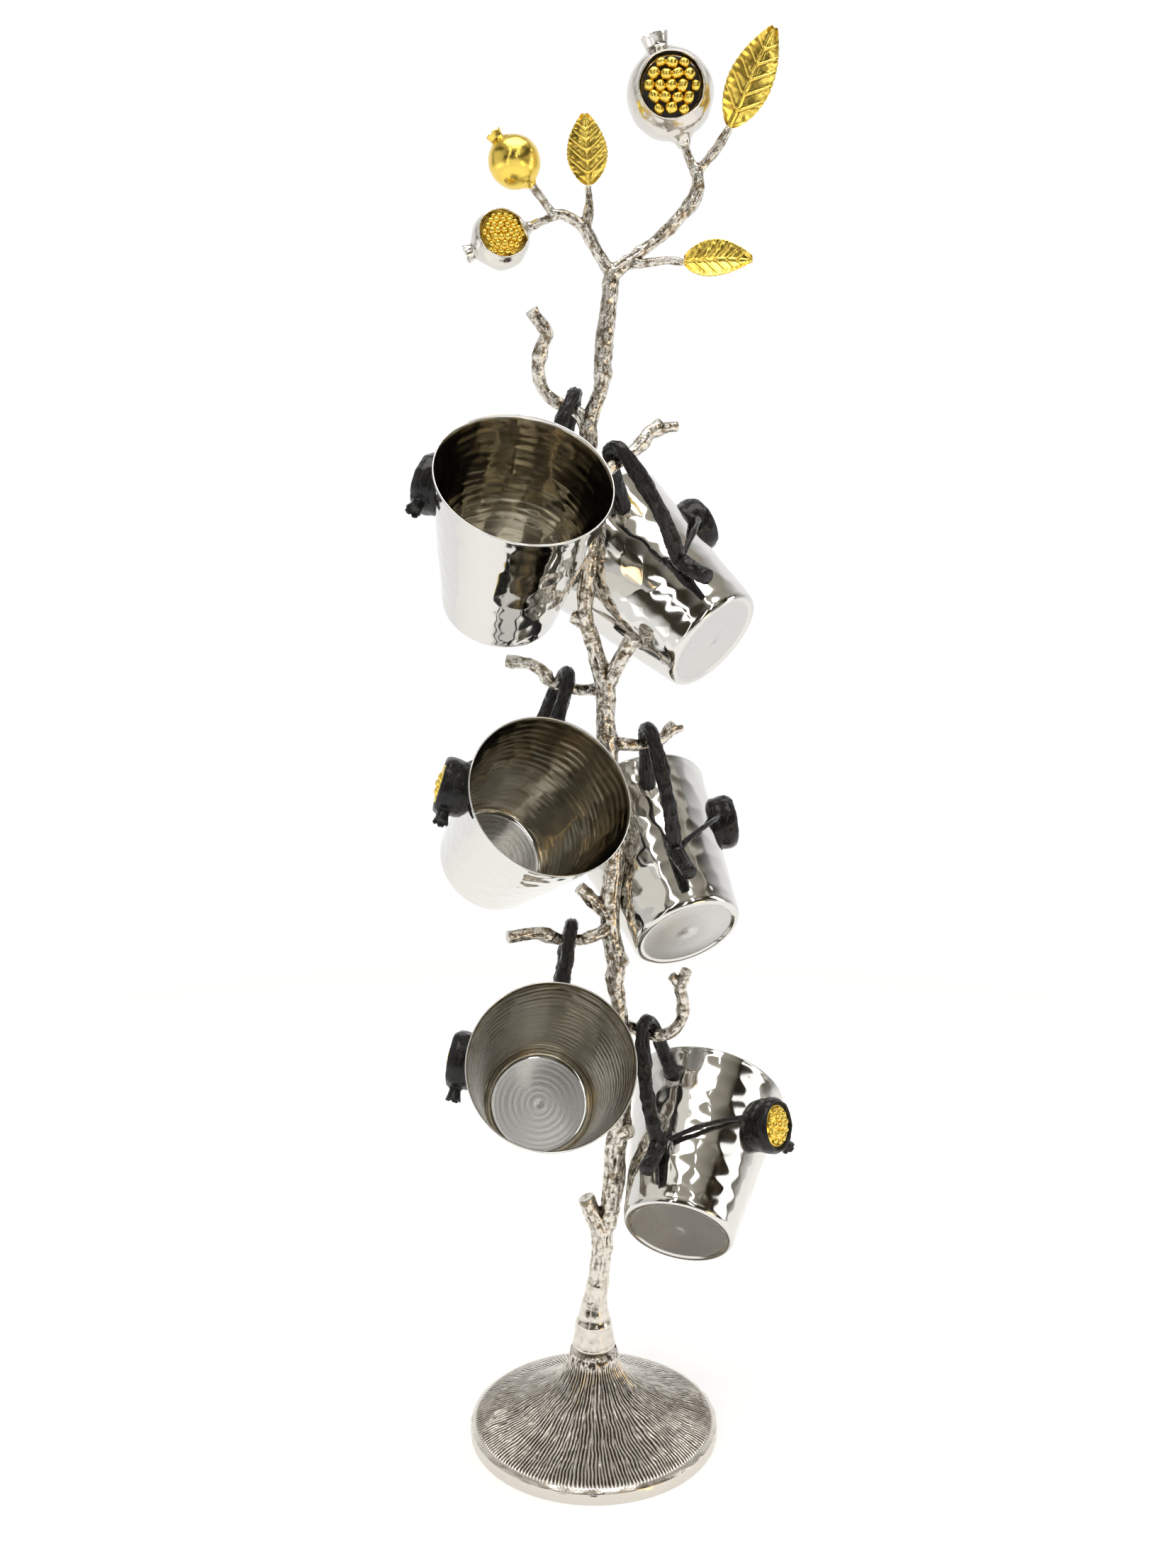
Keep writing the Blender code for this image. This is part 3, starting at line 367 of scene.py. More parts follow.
LIMBS = {
    "hook_right_low": [(12, 1, 206, 3.5), (16.4, 5.4, 203.6, 2.8), (21, 6.2, 201, 2.6),
        (26, 3.6, 200.2, 2.55), (32.3, 1, 200.7, 2.6), (37.6, -0.4, 203.8, 2.6), (41, -1.3, 209.5, 2.6),
        (41.4, -2.5, 218.3, 2.6), (40, -3.8, 225.3, 2.9), (41.4, -5, 230.3, 2.5),
        (42.8, -6.1, 234.3, 2.7)],
    "hook_left_low": [(7.2, 0, 254, 3.6), (1, -4.8, 251, 2.9), (-5.5, -6.3, 248.8, 2.6),
        (-11.5, -6.4, 249.2, 2.55), (-16.5, -7.6, 249.6, 2.6), (-21.7, -9.2, 251.8, 3),
        (-26.9, -10.9, 252.9, 2.8), (-39.4, -15.2, 252.4, 3.0)],
    "hook_right_middle": [(6, 0, 339.4, 3.6), (12, 2.2, 338.8, 2.9), (19, 3.9, 337.9, 2.6),
        (25.6, 5.5, 339, 2.55), (31.4, 7.3, 341, 2.6), (37, 8.7, 347, 2.4)],
    "hook_left_middle": [(4.6, 0, 364, 3.6), (0.4, 7, 363.2, 2.9), (-7, 11.6, 362.6, 2.6),
        (-14.5, 10.4, 364.4, 2.55), (-20, 9.7, 366.7, 2.6), (-24.4, 10.1, 371.4, 2.9),
        (-30, 10.9, 374.6, 2.7), (-40.3, 12.9, 376, 2.9)],
    "hook_right_top": [(-2, -0.6, 460.5, 3.4), (1.6, -7.5, 459.4, 2.8), (5.6, -13.4, 460.2, 2.6),
        (11, -12.6, 464.4, 2.55), (16, -9.7, 467.8, 2.6), (20.2, -7.3, 472, 2.7),
        (24.5, -5.6, 477, 3.0), (30, -4.7, 478.8, 2.3), (36.6, -3.9, 479.8, 2.1)],
    "hook_left_top": [(-2.4, 0, 477.5, 3.4), (-5.8, 0.1, 484.4, 2.8), (-10.8, 0.4, 487.6, 2.55),
        (-16.4, 0.4, 490.3, 2.6), (-21.1, -0.4, 494.5, 2.6), (-23.9, -1.3, 499.8, 2.6),
        (-24.4, -2.5, 506.3, 2.5), (-22.8, -3.8, 513.8, 2.6), (-20.8, -5, 519.1, 3),
        (-24.8, -6.6, 524.4, 2.6), (-27.2, -7.8, 528.4, 2.8)],
    "stub_foot": [(4.6, 0, 94, 4.3), (3.2, -1.2, 104, 4.6), (0.2, -1.9, 112, 4.2),
        (-4.1, -2.2, 121.4, 3.8)],
    "stub_low": [(12, 0, 153, 4), (14.4, -2, 154, 3.9), (17, -4, 155.6, 3.6)],
    "stub_left": [(7.6, 0, 258, 4), (3, -1, 262.6, 3.2), (-7, -3, 273, 2.9)],
    "stub_right": [(5.4, 0, 366, 4), (10.6, -5, 376, 3.5), (17, -11, 388.6, 3.7)],
    "tip_right_top": [(24.6, -5.5, 477.2, 2.3), (27, -5.2, 480.3, 2.0), (29, -5.0, 482.0, 1.7)],
    "tip_right_middle": [(34.6, 8.2, 344.2, 2.2), (38.3, 8.6, 344.8, 1.9), (41.0, 8.8, 345.6, 1.7)],
    "tip_right_low": [(40.4, -4.2, 226.6, 2.4), (37.4, -4.6, 229.6, 2.3), (35.8, -4.8, 231.4, 2.4)],
    "knot_low": [(10, 0, 236, 4), (13, -0.6, 237.6, 3.7), (15.4, -1, 238.6, 3.1)],
    "knot_high": [(-4, -2, 394, 3.5), (-7.4, -1.8, 395.8, 3.3), (-10.2, -1.4, 396.8, 2.8)],
    "right_fruit_twig": [(43.6, -1, 586, 2.5), (40.8, -0.6, 591.6, 2.2), (38.5, 0, 597.2, 1.9),
        (37.4, 0, 600.6, 2.1)],
    "right_leaf_twig": [(43.6, -1, 586, 2.4), (50.5, -1, 593.8, 2), (55.6, -0.6, 601, 1.7),
        (57.3, -0.5, 604.3, 1.5)],
    "right_side_twig": [(14.2, 0, 549.4, 2.6), (20, -1.4, 548.6, 1.9), (24.6, -2, 549.1, 1.7),
        (32, -2.6, 549.7, 1.5), (38.3, -3, 548.8, 1.4)],
    "left_limb": [(8, 0, 544, 2.9), (2.9, 0, 551, 2.6), (-0.6, 0, 557, 2.6), (-4.1, 0, 563, 2.6),
        (-7.9, 0.4, 566.4, 2.3), (-13.3, 1, 569, 2), (-18.4, 1, 569.6, 2.1)],
    "left_leaf_twig": [(-4.1, 0, 563, 2.5), (-2.7, 0, 569, 2.1), (-2.4, 0, 577, 1.7),
        (-2.5, 0, 580.8, 1.5)],
    "left_gold_twig": [(-17.3, 0.8, 568.5, 2), (-22.8, 0.6, 576, 1.7), (-27.2, 0, 581.5, 1.8)],
    "left_small_twig": [(-15.7, 1, 569.5, 2), (-23, 1, 566.4, 1.7), (-28.8, 0.6, 564, 1.7)],
}
# swellings: length along the limb, swell, and width where it isn't 2.2
KNOTS = {
    "hook_left_top": ((24, 0.3), (43, 0.7)),
    "hook_left_middle": ((34, 0.5),),
    "hook_left_low": ((32, 0.5),),
    "hook_right_top": ((36, 0.7, 3), (45, 0.5)),
    "hook_right_middle": ((31, 0.4),),
    "hook_right_low": ((42, 0.6),),
}


def joined(objects, name):
    """Several objects made one."""
    bpy.ops.object.select_all(action="DESELECT")
    for obj in objects:
        obj.select_set(True)
    bpy.context.view_layer.objects.active = objects[0]
    bpy.ops.object.join()
    objects[0].name = name
    return objects[0]


def run_together(obj, voxel, smoothing):
    """Fuse overlapping rods into one skin with softened joints."""
    bpy.context.view_layer.objects.active = obj
    remesh = obj.modifiers.new("Fuse", "REMESH")
    remesh.mode = "VOXEL"
    remesh.voxel_size = voxel
    soften = obj.modifiers.new("Soften", "SMOOTH")
    soften.factor = 0.5
    soften.iterations = smoothing
    bpy.ops.object.modifier_apply(modifier=remesh.name)
    bpy.ops.object.modifier_apply(modifier=soften.name)
    obj.data.shade_smooth()


trunk_knots = ((0.9, 0.25, 0.6), (13, 0.45, 1.0), (31, 0.3), (63, 0.5), (112, 0.4), (186, 0.5), (232, 0.3),
               (300, 0.4), (343, 0.5), (400, 0.3), (462, 0.5))
collar = (22, 0.12)  # its lowest length is polished nearly smooth
rods = [piece("rod", rod_rings(TRUNK, 60, 0.5, 40, (0.9, 0.6), trunk_knots, collar) * MM, [plated_bark])]
for number, (name, points) in enumerate(LIMBS.items()):
    thin = min(point[3] for point in points)
    bark = (0.9, 0.6) if thin > 2.3 else (0.72, 0.42)
    rings = rod_rings(points, 40, 0.5, 60 + 5 * number, bark, KNOTS.get(name, ()))
    rods.append(piece("rod", rings * MM, [plated_bark]))
twig = joined(rods, "barked_twig")
run_together(twig, 0.37 * MM, 1)
mark_hollow(twig, 0.00016)
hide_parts("trunk", "crown_left_limb", "crown_right_limb",
            *[n for n in LIMBS if n.startswith("hook_")])
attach(twig, "tree")

# ====================================================================================================
# Cups. Spun from stainless steel sheet, hammered all over in rows while on the stake, then polished
# bright. The mouth is a plain smoothed edge and the underside is sunk inside a narrow foot ring.
# ====================================================================================================
cup_h = 78.5
cup_rim_r = 38.0
cup_foot_r = 26.0
sheet_t = 0.9

steel, tree, surface = shader("hammered_steel", (0.70, 0.69, 0.66), 1.0, 0.07)
noise_into(tree, surface.inputs["Roughness"], 90, ((0.3, 0.05), (0.75, 0.11)))
rough_bump(tree, surface, 420, 0.00003, 0.12, stretch=(1, 1, 0.35))
# The inside of each cup is the same steel, given a darker and browner colour than the outside: painted shade
# and painted dark reflection.
inside, tree, surface = shader("steel_inside_painted_shade", (0.56, 0.53, 0.46), 1.0, 0.1)
inside_painted_shade = ((0.3, (0.50, 0.465, 0.39)), (0.7, (0.60, 0.575, 0.51)))
noise_into(tree, surface.inputs["Base Color"], 120, inside_painted_shade)
noise_into(tree, surface.inputs["Roughness"], 90, ((0.3, 0.08), (0.75, 0.16)))
satin, tree, surface = shader("satin_underside", (0.62, 0.62, 0.61), 1.0, 0.3)
where = tree.nodes.new("ShaderNodeTexCoord")
spun = tree.nodes.new("ShaderNodeTexWave")
spun.wave_type = "RINGS"
spun.rings_direction = "Z"
spun.inputs["Scale"].default_value = 420
spun.inputs["Distortion"].default_value = 5
spun.inputs["Detail"].default_value = 3
spun.inputs["Detail Scale"].default_value = 1.5
tree.links.new(where.outputs["Object"], spun.inputs["Vector"])
sheen = tree.nodes.new("ShaderNodeMapRange")
sheen.inputs["To Min"].default_value = 0.27
sheen.inputs["To Max"].default_value = 0.35
tree.links.new(spun.outputs["Fac"], sheen.inputs["Value"])
tree.links.new(sheen.outputs["Result"], surface.inputs["Roughness"])

# where each mug hangs: seat of its hook, then which way its mouth and its handle point
HANGING = {
    "right_low": ((26, 3.6, 200.2), (0.234, 0.787, 0.571), (-0.461, -0.428, 0.778)),
    "left_low": ((-11.5, -6.4, 249.2), (0.105, -0.828, 0.551), (0.133, 0.561, 0.817)),
    "right_middle": ((25.6, 5.5, 339.0), (-0.317, 0.675, 0.666), (0.049, -0.690, 0.723)),
    "left_middle": ((-14.5, 10.4, 364.4), (0.387, -0.760, 0.523), (0.134, 0.607, 0.783)),
    "right_top": ((11, -12.6, 464.4), (-0.657, 0.471, 0.588), (0.017, -0.772, 0.636)),
    "left_top": ((-10.8, 0.4, 487.6), (0.177, -0.703, 0.688), (0.322, 0.702, 0.635)),
}


def wall_at(z):
    """Outer radius of a cup in mm at a height above its underside."""
    return cup_foot_r + (cup_rim_r - cup_foot_r) * z / cup_h


bend = Vector((wall_at(64.4) + 26.2, 0, 67.0))
bend_seat = bend + Vector((0.3, 0, 0.3))


def hang(obj, name):
    """Place a mug's piece on its hook and let it ride with that mug."""
    seat, mouth, handle = [Vector(v) for v in HANGING[name]]
    mouth = mouth.normalized()
    handle = (handle - mouth * handle.dot(mouth)).normalized()
    turn = Matrix((handle, mouth.cross(handle), mouth)).transposed().to_4x4()
    obj.matrix_world = Matrix.Translation(seat * MM) @ turn @ Matrix.Translation(-bend_seat * MM)
    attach(obj, "mug_" + name)


def trim_to_wall(obj):
    """Cut a brazed piece off inside the thickness of the sheet, in a cup's own frame."""
    for vertex in obj.data.vertices:
        x, y, z = vertex.co / MM
        reach = math.hypot(x, y)
        least = wall_at(z) - 0.5
        if 0.001 < reach < least and z > 0:
            vertex.co = Vector((x * least / reach, y * least / reach, z)) * MM


def hammer_marks(height, turn, rng):
    """Depth of hammering in mm at points of the wall: shallow round dents laid in rows that overlap."""
    marks = []
    row_z = 4.0
    while row_z < cup_h - 1:
        count = round(2 * math.pi * wall_at(row_z) / rng.uniform(8.6, 10.4))
        start = rng.uniform(0, 2 * math.pi)
        for k in range(count):
            marks.append((start + 2 * math.pi * (k + rng.uniform(-0.27, 0.27)) / count,
                          row_z + rng.uniform(-1.6, 1.6), rng.uniform(-0.06, 0.07), rng.uniform(52, 78)))
        row_z += rng.uniform(7.4, 8.8)
    softness = 15
    total = np.zeros_like(height)
    for mark_turn, mark_z, offset, ball in marks:
        gap = (turn - mark_turn + math.pi) % (2 * math.pi) - math.pi
        square = (gap * wall_at(mark_z)) ** 2 + (height - mark_z) ** 2
        total += np.exp(-softness * np.minimum(square / (2 * ball) + offset, 12))
    return -np.log(np.maximum(total, 1e-30)) / softness


# depth in mm of the ripples that spinning left inside two of the cups
RIPPLES = {"left_low": 0.09, "left_middle": 0.07}
for number, name in enumerate(HANGING):
    rng = np.random.default_rng(300 + number)
    sides = 300
    turn = np.linspace(0, 2 * math.pi, sides, endpoint=False)
    outside = np.linspace(2.4, cup_h - 1.4, 104)
    turn_grid, z_grid = np.meshgrid(turn, outside)
    dents = np.clip(hammer_marks(z_grid, turn_grid, rng), -0.1, 0.42)
    wall = np.stack([cup_rim_r * np.cos(turn_grid), cup_rim_r * np.sin(turn_grid), z_grid], axis=-1)
    ripples = RIPPLES.get(name, 0.03) * np.sin(z_grid * 1.5 + 2.4 * lumps(wall, 14, 340 + number))
    ends = np.clip((cup_h - 1.0 - z_grid) / 3, 0, 1) * np.clip((z_grid - 2.0) / 3, 0, 1)
    dents = (dents - 0.1) * ends
    oval = 0.35 * np.cos(2 * turn + rng.uniform(0, 6)) * (outside[:, None] / cup_h) ** 2
    rings = []

    def ring(r, z):
        rings.append(np.stack([r * np.cos(turn), r * np.sin(turn), np.full(sides, 1.0) * z], axis=1))

    for r, z in ((0.2, 0.75), (2.0, 0.72), (2.4, 0.9), (6, 0.86), (14, 0.84), (cup_foot_r - 4.6, 0.82),
                 (cup_foot_r - 3.9, 0.7), (cup_foot_r - 3.1, 0.15), (cup_foot_r - 2.6, 0),
                 (cup_foot_r - 1.5, 0), (cup_foot_r - 0.8, 0.25), (cup_foot_r - 0.1, 1.2)):
        ring(r, z)
    for z, dent, wave in zip(outside, dents, oval):
        ring(wall_at(z) + dent + wave - 0.1, z)
    for r, z in ((cup_rim_r - 0.12, cup_h - 0.75), (cup_rim_r - 0.2, cup_h - 0.25),
                 (cup_rim_r - 0.45, cup_h),
                 (cup_rim_r - 0.7, cup_h - 0.25), (cup_rim_r - 0.85, cup_h - 0.75)):
        ring(r + oval[-1], z)
    for z, dent, wave, ripple in zip(outside[::-1], dents[::-1], oval[::-1], (ripples * ends)[::-1]):
        if z > 4.4:
            ring(wall_at(z) + 0.85 * dent + ripple + wave - 0.1 - sheet_t, z)
    for r, z in ((cup_foot_r - 1.2, 3.1), (cup_foot_r - 2.2, 2.35), (cup_foot_r - 3.4, 2.0)):
        ring(r, z)
    for r in np.linspace(cup_foot_r - 4.4, 2.2, 40):
        ring(r, 1.85 + 0.02 * math.cos(r * 2.1 + 0.6 * math.sin(r)))
    ring(1.2, 1.7)
    ring(0.2, 1.6)
    cup = piece("steel_cup_" + name, np.array(rings) * MM, [steel, satin, inside])
    for polygon in cup.data.polygons:
        middle = polygon.center / MM
        off = math.hypot(middle.x, middle.y)
        if off < cup_foot_r - 3.9 and middle.z < 2.2:
            polygon.material_index = 1
        elif off < wall_at(middle.z) - 0.5 and 2.2 < middle.z < cup_h - 1.6:
            polygon.material_index = 2
    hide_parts("cup_" + name)
    hang(cup, name)

# ====================================================================================================
# Handles. A black-finished brass casting of a bent branch: it leaves the wall under the mouth, turns
# back over the hook and bows down to the wall again, where it ends in a cut tail. A thin twig runs
# from its foot round the cup to a pomegranate. All of it is brazed on and patinated black.
# ====================================================================================================
black_bark, tree, surface = shader("black_patina", (0.012, 0.012, 0.012), 0.0, 0.3)
surface.inputs["Specular IOR Level"].default_value = 0.3
# darker still in the hollows of the bark: painted shade
hollow_shade(tree, surface, (0.016, 0.015, 0.015), (0.002, 0.002, 0.002), 0.3, 0.75)
noise_into(tree, surface.inputs["Roughness"], 200, ((0.3, 0.16), (0.7, 0.34)))
rough_bump(tree, surface, 1100, 0.00008, 0.45)

handle_r = 3.35
bend_r = handle_r + 2.6 + 1.05
twig_r = 1.05
fruit_turn = math.radians(87)
fruit_z = 54.5
fruit_r = 13.25
fruit_h = 9.6
seed_r = 10.25


def touch_point(point, side):
    """Where a line from a point of the handle's plane touches its bend, and the angle there."""
    dx, dz = point.x - bend.x, point.z - bend.z
    angle = math.remainder(math.atan2(dz, dx) + side * math.acos(bend_r / math.hypot(dx, dz)), math.tau)
    return bend + Vector((math.cos(angle), 0, math.sin(angle))) * bend_r, angle


leave = Vector((wall_at(64.4) - 0.9, 0, 64.0))
toe = Vector((wall_at(27) + handle_r + 0.3, 0, 27))
tail = Vector((wall_at(9) + 10.8, 0, 9))
bow = Vector((wall_at(38) + 23.5, 0, 38))
over, over_angle = touch_point(leave, -1)
down, down_angle = touch_point(bow, 1)
handle_line = [(*leave, 4.0), (*leave.lerp(over, 0.28), 3.4), (*leave.lerp(over, 0.6), 3.1)]
for k in range(8):
    angle = over_angle + (down_angle - over_angle) * k / 7
    handle_line.append((*(bend + Vector((math.cos(angle), 0, math.sin(angle))) * bend_r), 2.95))
for k in range(1, 8):
    t = k / 7
    spot = down * (1 - t) ** 2 + bow * 2 * t * (1 - t) + toe * t * t
    handle_line.append((*spot, 3.3 + 0.25 * math.sin(9 * t)))
handle_line.append((toe.x - 0.1, 0, toe.z - 3.4, 3.7))
handle_line.append(((toe.x + tail.x) / 2 - 0.6, 0, (toe.z + tail.z) / 2 - 1.5, 3.4))
handle_line.append((*tail, 3.5))

first_turn = math.asin((handle_r + twig_r + 0.3) / wall_at(27))
last_turn = fruit_turn - (fruit_r + 1) / wall_at(fruit_z) * 0.94
twig_line = []
for k in range(13):
    t = k / 12
    z = 29 + (fruit_z - 34) * (0.75 * t + 0.25 * t * t)
    turn = first_turn + (last_turn - first_turn) * t
    r = wall_at(z) + twig_r + 0.6 + 1.8 * math.sin(math.pi * t) + 1.6 * t
    thickness = twig_r * (1.3 - 0.3 * math.sin(math.pi * t))
    twig_line.append((r * math.cos(turn), r * math.sin(turn), z, thickness))

for number, name in enumerate(HANGING):
    rings = rod_rings(handle_line, 44, 0.42, 400 + 7 * number, (0.9, 0.28),
                      ((8, 0.25), (58, 0.35), (73, 0.5), (86, 0.2)))
    handle = piece("bark_handle_" + name, rings * MM, [black_bark])
    mark_hollow(handle, 0.00012)
    trim_to_wall(handle)
    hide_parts("handle_" + name)
    hang(handle, name)
    rings = rod_rings(twig_line, 20, 0.4, 500 + 7 * number, (0.3, 0.2), ((14, 0.25), (27, 0.2)))
    thin = piece("black_twig_" + name, rings * MM, [black_bark])
    mark_hollow(thin, 0.00012)
    trim_to_wall(thin)
    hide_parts("twig_" + name)
    hang(thin, name)

# ====================================================================================================
# Pomegranate on each cup. A black cast husk, flat-backed and brazed to the wall, with a small open
# crown at its far end. Its round opening is filled with a gilt dome cast as a cluster of seeds.
# ====================================================================================================
gilt, tree, surface = shader("gilt_casting", (0.84, 0.58, 0.12), 1.0, 0.2)
# dark in the gaps between seeds and in the hollows of the leaves: painted shade
hollow_shade(tree, surface, (0.90, 0.66, 0.13), (0.22, 0.11, 0.015), 0.52, 0.88)
noise_into(tree, surface.inputs["Roughness"], 350, ((0.3, 0.16), (0.7, 0.32)))
rough_bump(tree, surface, 900, 0.00005, 0.25)

slope = math.atan((cup_rim_r - cup_foot_r) / cup_h)
out = Vector((math.cos(fruit_turn), math.sin(fruit_turn), 0))
away = Vector((-math.sin(fruit_turn), math.cos(fruit_turn), 0))
face = (out * math.cos(slope) - Vector((0, 0, math.sin(slope)))).normalized()
root = out * wall_at(fruit_z) + Vector((0, 0, fruit_z))


def aim(direction, at, spin=0.0):
    """A placement in mm whose Z lies along the direction."""
    turn = Vector(direction).normalized().to_track_quat("Z", "Y").to_matrix().to_4x4()
    return Matrix.Translation(at) @ turn @ Matrix.Rotation(spin, 4, "Z")


def set_at(grid, placement):
    """Rings moved to a placement."""
    turn = np.array(placement)
    return grid @ turn[:3, :3].T + turn[:3, 3]


def husk_rings(profile, sides, seed, bumps, size=3.0):
    """Rings of a turned shape with a hand-modelled, uneven skin."""
    line = smooth_route([(r, 0, z, 0) for r, z in profile], 0.5)
    turn = np.linspace(0, 2 * math.pi, sides, endpoint=False)
    rings = []
    for r, _, z, _ in line:
        points = np.stack([r * np.cos(turn), r * np.sin(turn), np.full(sides, z)], axis=1)
        uneven = bumps * lumps(points, size, seed) + 0.4 * bumps * lumps(points, size / 2.4, seed + 1)
        push = np.stack([np.cos(turn), np.sin(turn), np.full(sides, 0.3)], axis=1)
        rings.append(points + push * uneven[:, None] * min(1, abs(r) / 2))
    return np.array(rings)


def turned(name, profile, sides, seed, bumps, placement, material, size=3.0):
    """A turned piece set at its placement."""
    return piece(name, set_at(husk_rings(profile, sides, seed, bumps, size), placement) * MM, [material])


def seed_rings(size, rng):
    """Rings of one seed: a rounded block, no two quite alike."""
    turn = np.linspace(0, 2 * math.pi, 20, endpoint=False)
    long_way, short_way = rng.uniform(0.98, 1.14), rng.uniform(0.86, 1.0)
    square = (np.abs(np.cos(turn)) ** 2.8 + np.abs(np.sin(turn)) ** 2.8) ** (-1 / 2.8)
    rings = []
    for tilt in np.linspace(86, -60, 11):
        r = size * math.cos(math.radians(tilt)) ** 0.8
        z = size * math.sin(math.radians(tilt))
        across, over = r * square * np.cos(turn) * long_way, r * square * np.sin(turn) * short_way
        rings.append(np.stack([across, over, np.full(20, z)], axis=1))
    return np.array(rings)


def crown_rings(tall, wide, teeth, seed):
    """Rings of a fruit's open crown: a flared cup whose edge is cut into pointed teeth."""
    sides = teeth * 14
    turn = np.linspace(0, 2 * math.pi, sides, endpoint=False)
    tooth = np.minimum(1, 1.6 * np.abs(np.cos(teeth * turn / 2))) ** 0.8
    rings = []
    for inner in (0, 1):
        for k in range(9):
            t = k / 8 if inner == 0 else 1 - k / 8
            reach = tall * t * (0.72 + 0.28 * tooth)
            flare = wide * (0.76 + 0.24 * (reach / tall) ** 1.6)
            flare = flare - (1.5 if wide > 5 else 0.8) * inner * (1 if k else 0.6)
            if inner:
                reach = np.maximum(reach, tall * 0.2)
            ring = np.stack([flare * np.cos(turn), flare * np.sin(turn), reach], axis=1)
            rings.append(ring + 0.12 * lumps(ring, 1.6, seed)[:, None])
    return np.array(rings)


for number, name in enumerate(HANGING):
    husk = [(0.3, fruit_h - 2.1), (seed_r - 0.6, fruit_h - 2.1), (seed_r + 0.5, fruit_h - 0.4),
            (seed_r + 1.4, fruit_h + 0.1), (fruit_r - 0.4, fruit_h - 1.8), (fruit_r, fruit_h - 4.2),
            (fruit_r - 0.5, 2.4), (fruit_r - 2.2, -2.6), (0.3, -2.6)]
    body = turned("husk", husk, 110, 600 + number, 0.34, aim(face, root), black_bark)
    neck = [(0.2, 4.6), (1.9, 4.5), (2.6, 2), (3.1, -2.5), (0.2, -2.5)]
    at = root + away * (fruit_r - 0.6) + face * (fruit_h - 4.6)
    neck = turned("neck", neck, 40, 610 + number, 0.15, aim(away, at), black_bark)
    rings = set_at(crown_rings(4.2, 3.7, 5, 620 + number), aim(away, at + away * 2.0))
    teeth = piece("teeth", rings * MM, [black_bark])
    body = joined([body, neck, teeth], "black_pomegranate_" + name)
    run_together(body, 0.42 * MM, 2)
    mark_hollow(body, 0.00014)
    trim_to_wall(body)
    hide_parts("pomegranate_" + name)
    hang(body, name)

    rng = np.random.default_rng(700 + number)
    floor = fruit_h - 2.1
    dome = [(0.2, floor + 2.6), (4, floor + 2.4), (7.4, floor + 1.4), (9.4, floor + 0.1), (9.4, floor - 0.4),
            (0.2, floor - 0.4)]
    edge = [(seed_r - 1.5, floor - 0.3), (seed_r - 1.3, floor + 0.7), (seed_r - 0.8, floor + 1.0),
            (seed_r - 0.35, floor + 0.6), (seed_r - 0.25, floor - 0.3)]
    beads = [turned("part", line, 80, 710, 0.1, aim(face, root), gilt) for line in (dome, edge)]
    for count, ring_r, size, lift in ((1, 0, 1.85, 2.4), (6, 3.9, 1.8, 1.95), (11, 7.35, 1.65, 0.95)):
        start = rng.uniform(0, 6)
        for k in range(count):
            angle = start + 2 * math.pi * (k + rng.uniform(-0.1, 0.1)) / count
            lean = Vector((math.cos(angle) * ring_r / 16, math.sin(angle) * ring_r / 16, 1))
            middle = Vector((ring_r * math.cos(angle), ring_r * math.sin(angle), floor + lift))
            spot = aim(lean, middle, rng.uniform(0, 6))
            beads.append(piece("bead", set_at(seed_rings(size, rng), aim(face, root) @ spot) * MM, [gilt]))
    cluster = joined(beads, "gilt_seeds_" + name)
    mark_hollow(cluster, 0.0002)
    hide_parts("seeds_" + name)
    hang(cluster, name)

# ====================================================================================================
# Pomegranates of the crown. Cast hollow and soldered to the ends of the twigs: a big plated one with
# a round window on a bed of gilt seeds, a gilt one that is closed, and a small plated one with its
# front open on a heap of seeds.
# ====================================================================================================
plated_fruit, tree, surface = shader("nickel_plate_fruit", (0.70, 0.67, 0.62), 1.0, 0.12)
# dark in the hollows: partly the real patina, partly painted shade
hollow_shade(tree, surface, (0.72, 0.69, 0.64), (0.28, 0.22, 0.16), 0.56, 0.92)
noise_into(tree, surface.inputs["Roughness"], 120, ((0.3, 0.09), (0.7, 0.24)))
rough_bump(tree, surface, 500, 0.00008, 0.3)


def open_husk(r, window_r, wall):
    """Profile about the window's axis, from the middle of its floor out over the lip and round the back."""
    lip = math.sqrt(r * r - window_r * window_r)
    depth = lip - 3.4
    profile = [(0.2, depth), (window_r * 0.7, depth), (window_r - 0.6, depth + 0.4),
               (window_r - 0.2, depth + 1.6), (window_r, lip - 0.6), (window_r + wall * 0.35, lip + 0.25)]
    start = math.degrees(math.atan2(lip, window_r)) - 8
    for angle in np.linspace(start, -86, 16):
        profile.append((r * math.cos(math.radians(angle)), r * math.sin(math.radians(angle))))
    return profile + [(0.2, -r)]


def seed_heap(r, window_r, size, bulge, seed, name, normal, centre, bed):
    """Rounded seeds in rows behind a window."""
    rng = np.random.default_rng(seed)
    floor = math.sqrt(r * r - window_r * window_r) - 3.3
    base = [(0.2, floor + bulge), (window_r * 0.5, floor + bulge * 0.8), (window_r - 1.0, floor + 0.3),
            (window_r - 1.0, floor + 0.02), (0.2, floor + 0.02)]
    parts = [turned("bed", base, 60, seed, 0.15, aim(normal, centre), bed)]
    pitch = size * 1.92
    for row in range(-6, 7):
        for column in range(-6, 7):
            x = (column + 0.5 * (row % 2) + rng.uniform(-0.09, 0.09)) * pitch
            y = (row * 0.95 + rng.uniform(-0.09, 0.09)) * pitch
            off = math.hypot(x, y)
            shrink = 1.0 if off < window_r - size * 1.35 else 0.85
            if off > window_r - size * 0.75:
                continue
            lift = bulge * (1 - (off / window_r) ** 2) + size * 0.3 + rng.uniform(-0.15, 0.15)
            lean = Vector((x / 24 + rng.uniform(-0.12, 0.12), y / 24 + rng.uniform(-0.12, 0.12), 1))
            spot = aim(normal, centre) @ aim(lean, Vector((x, y, floor + lift)), rng.uniform(-0.3, 0.3))
            parts.append(piece("seed", set_at(seed_rings(size * shrink, rng), spot) * MM, [gilt]))
    heap = joined(parts, name)
    mark_hollow(heap, 0.00014)
    return heap


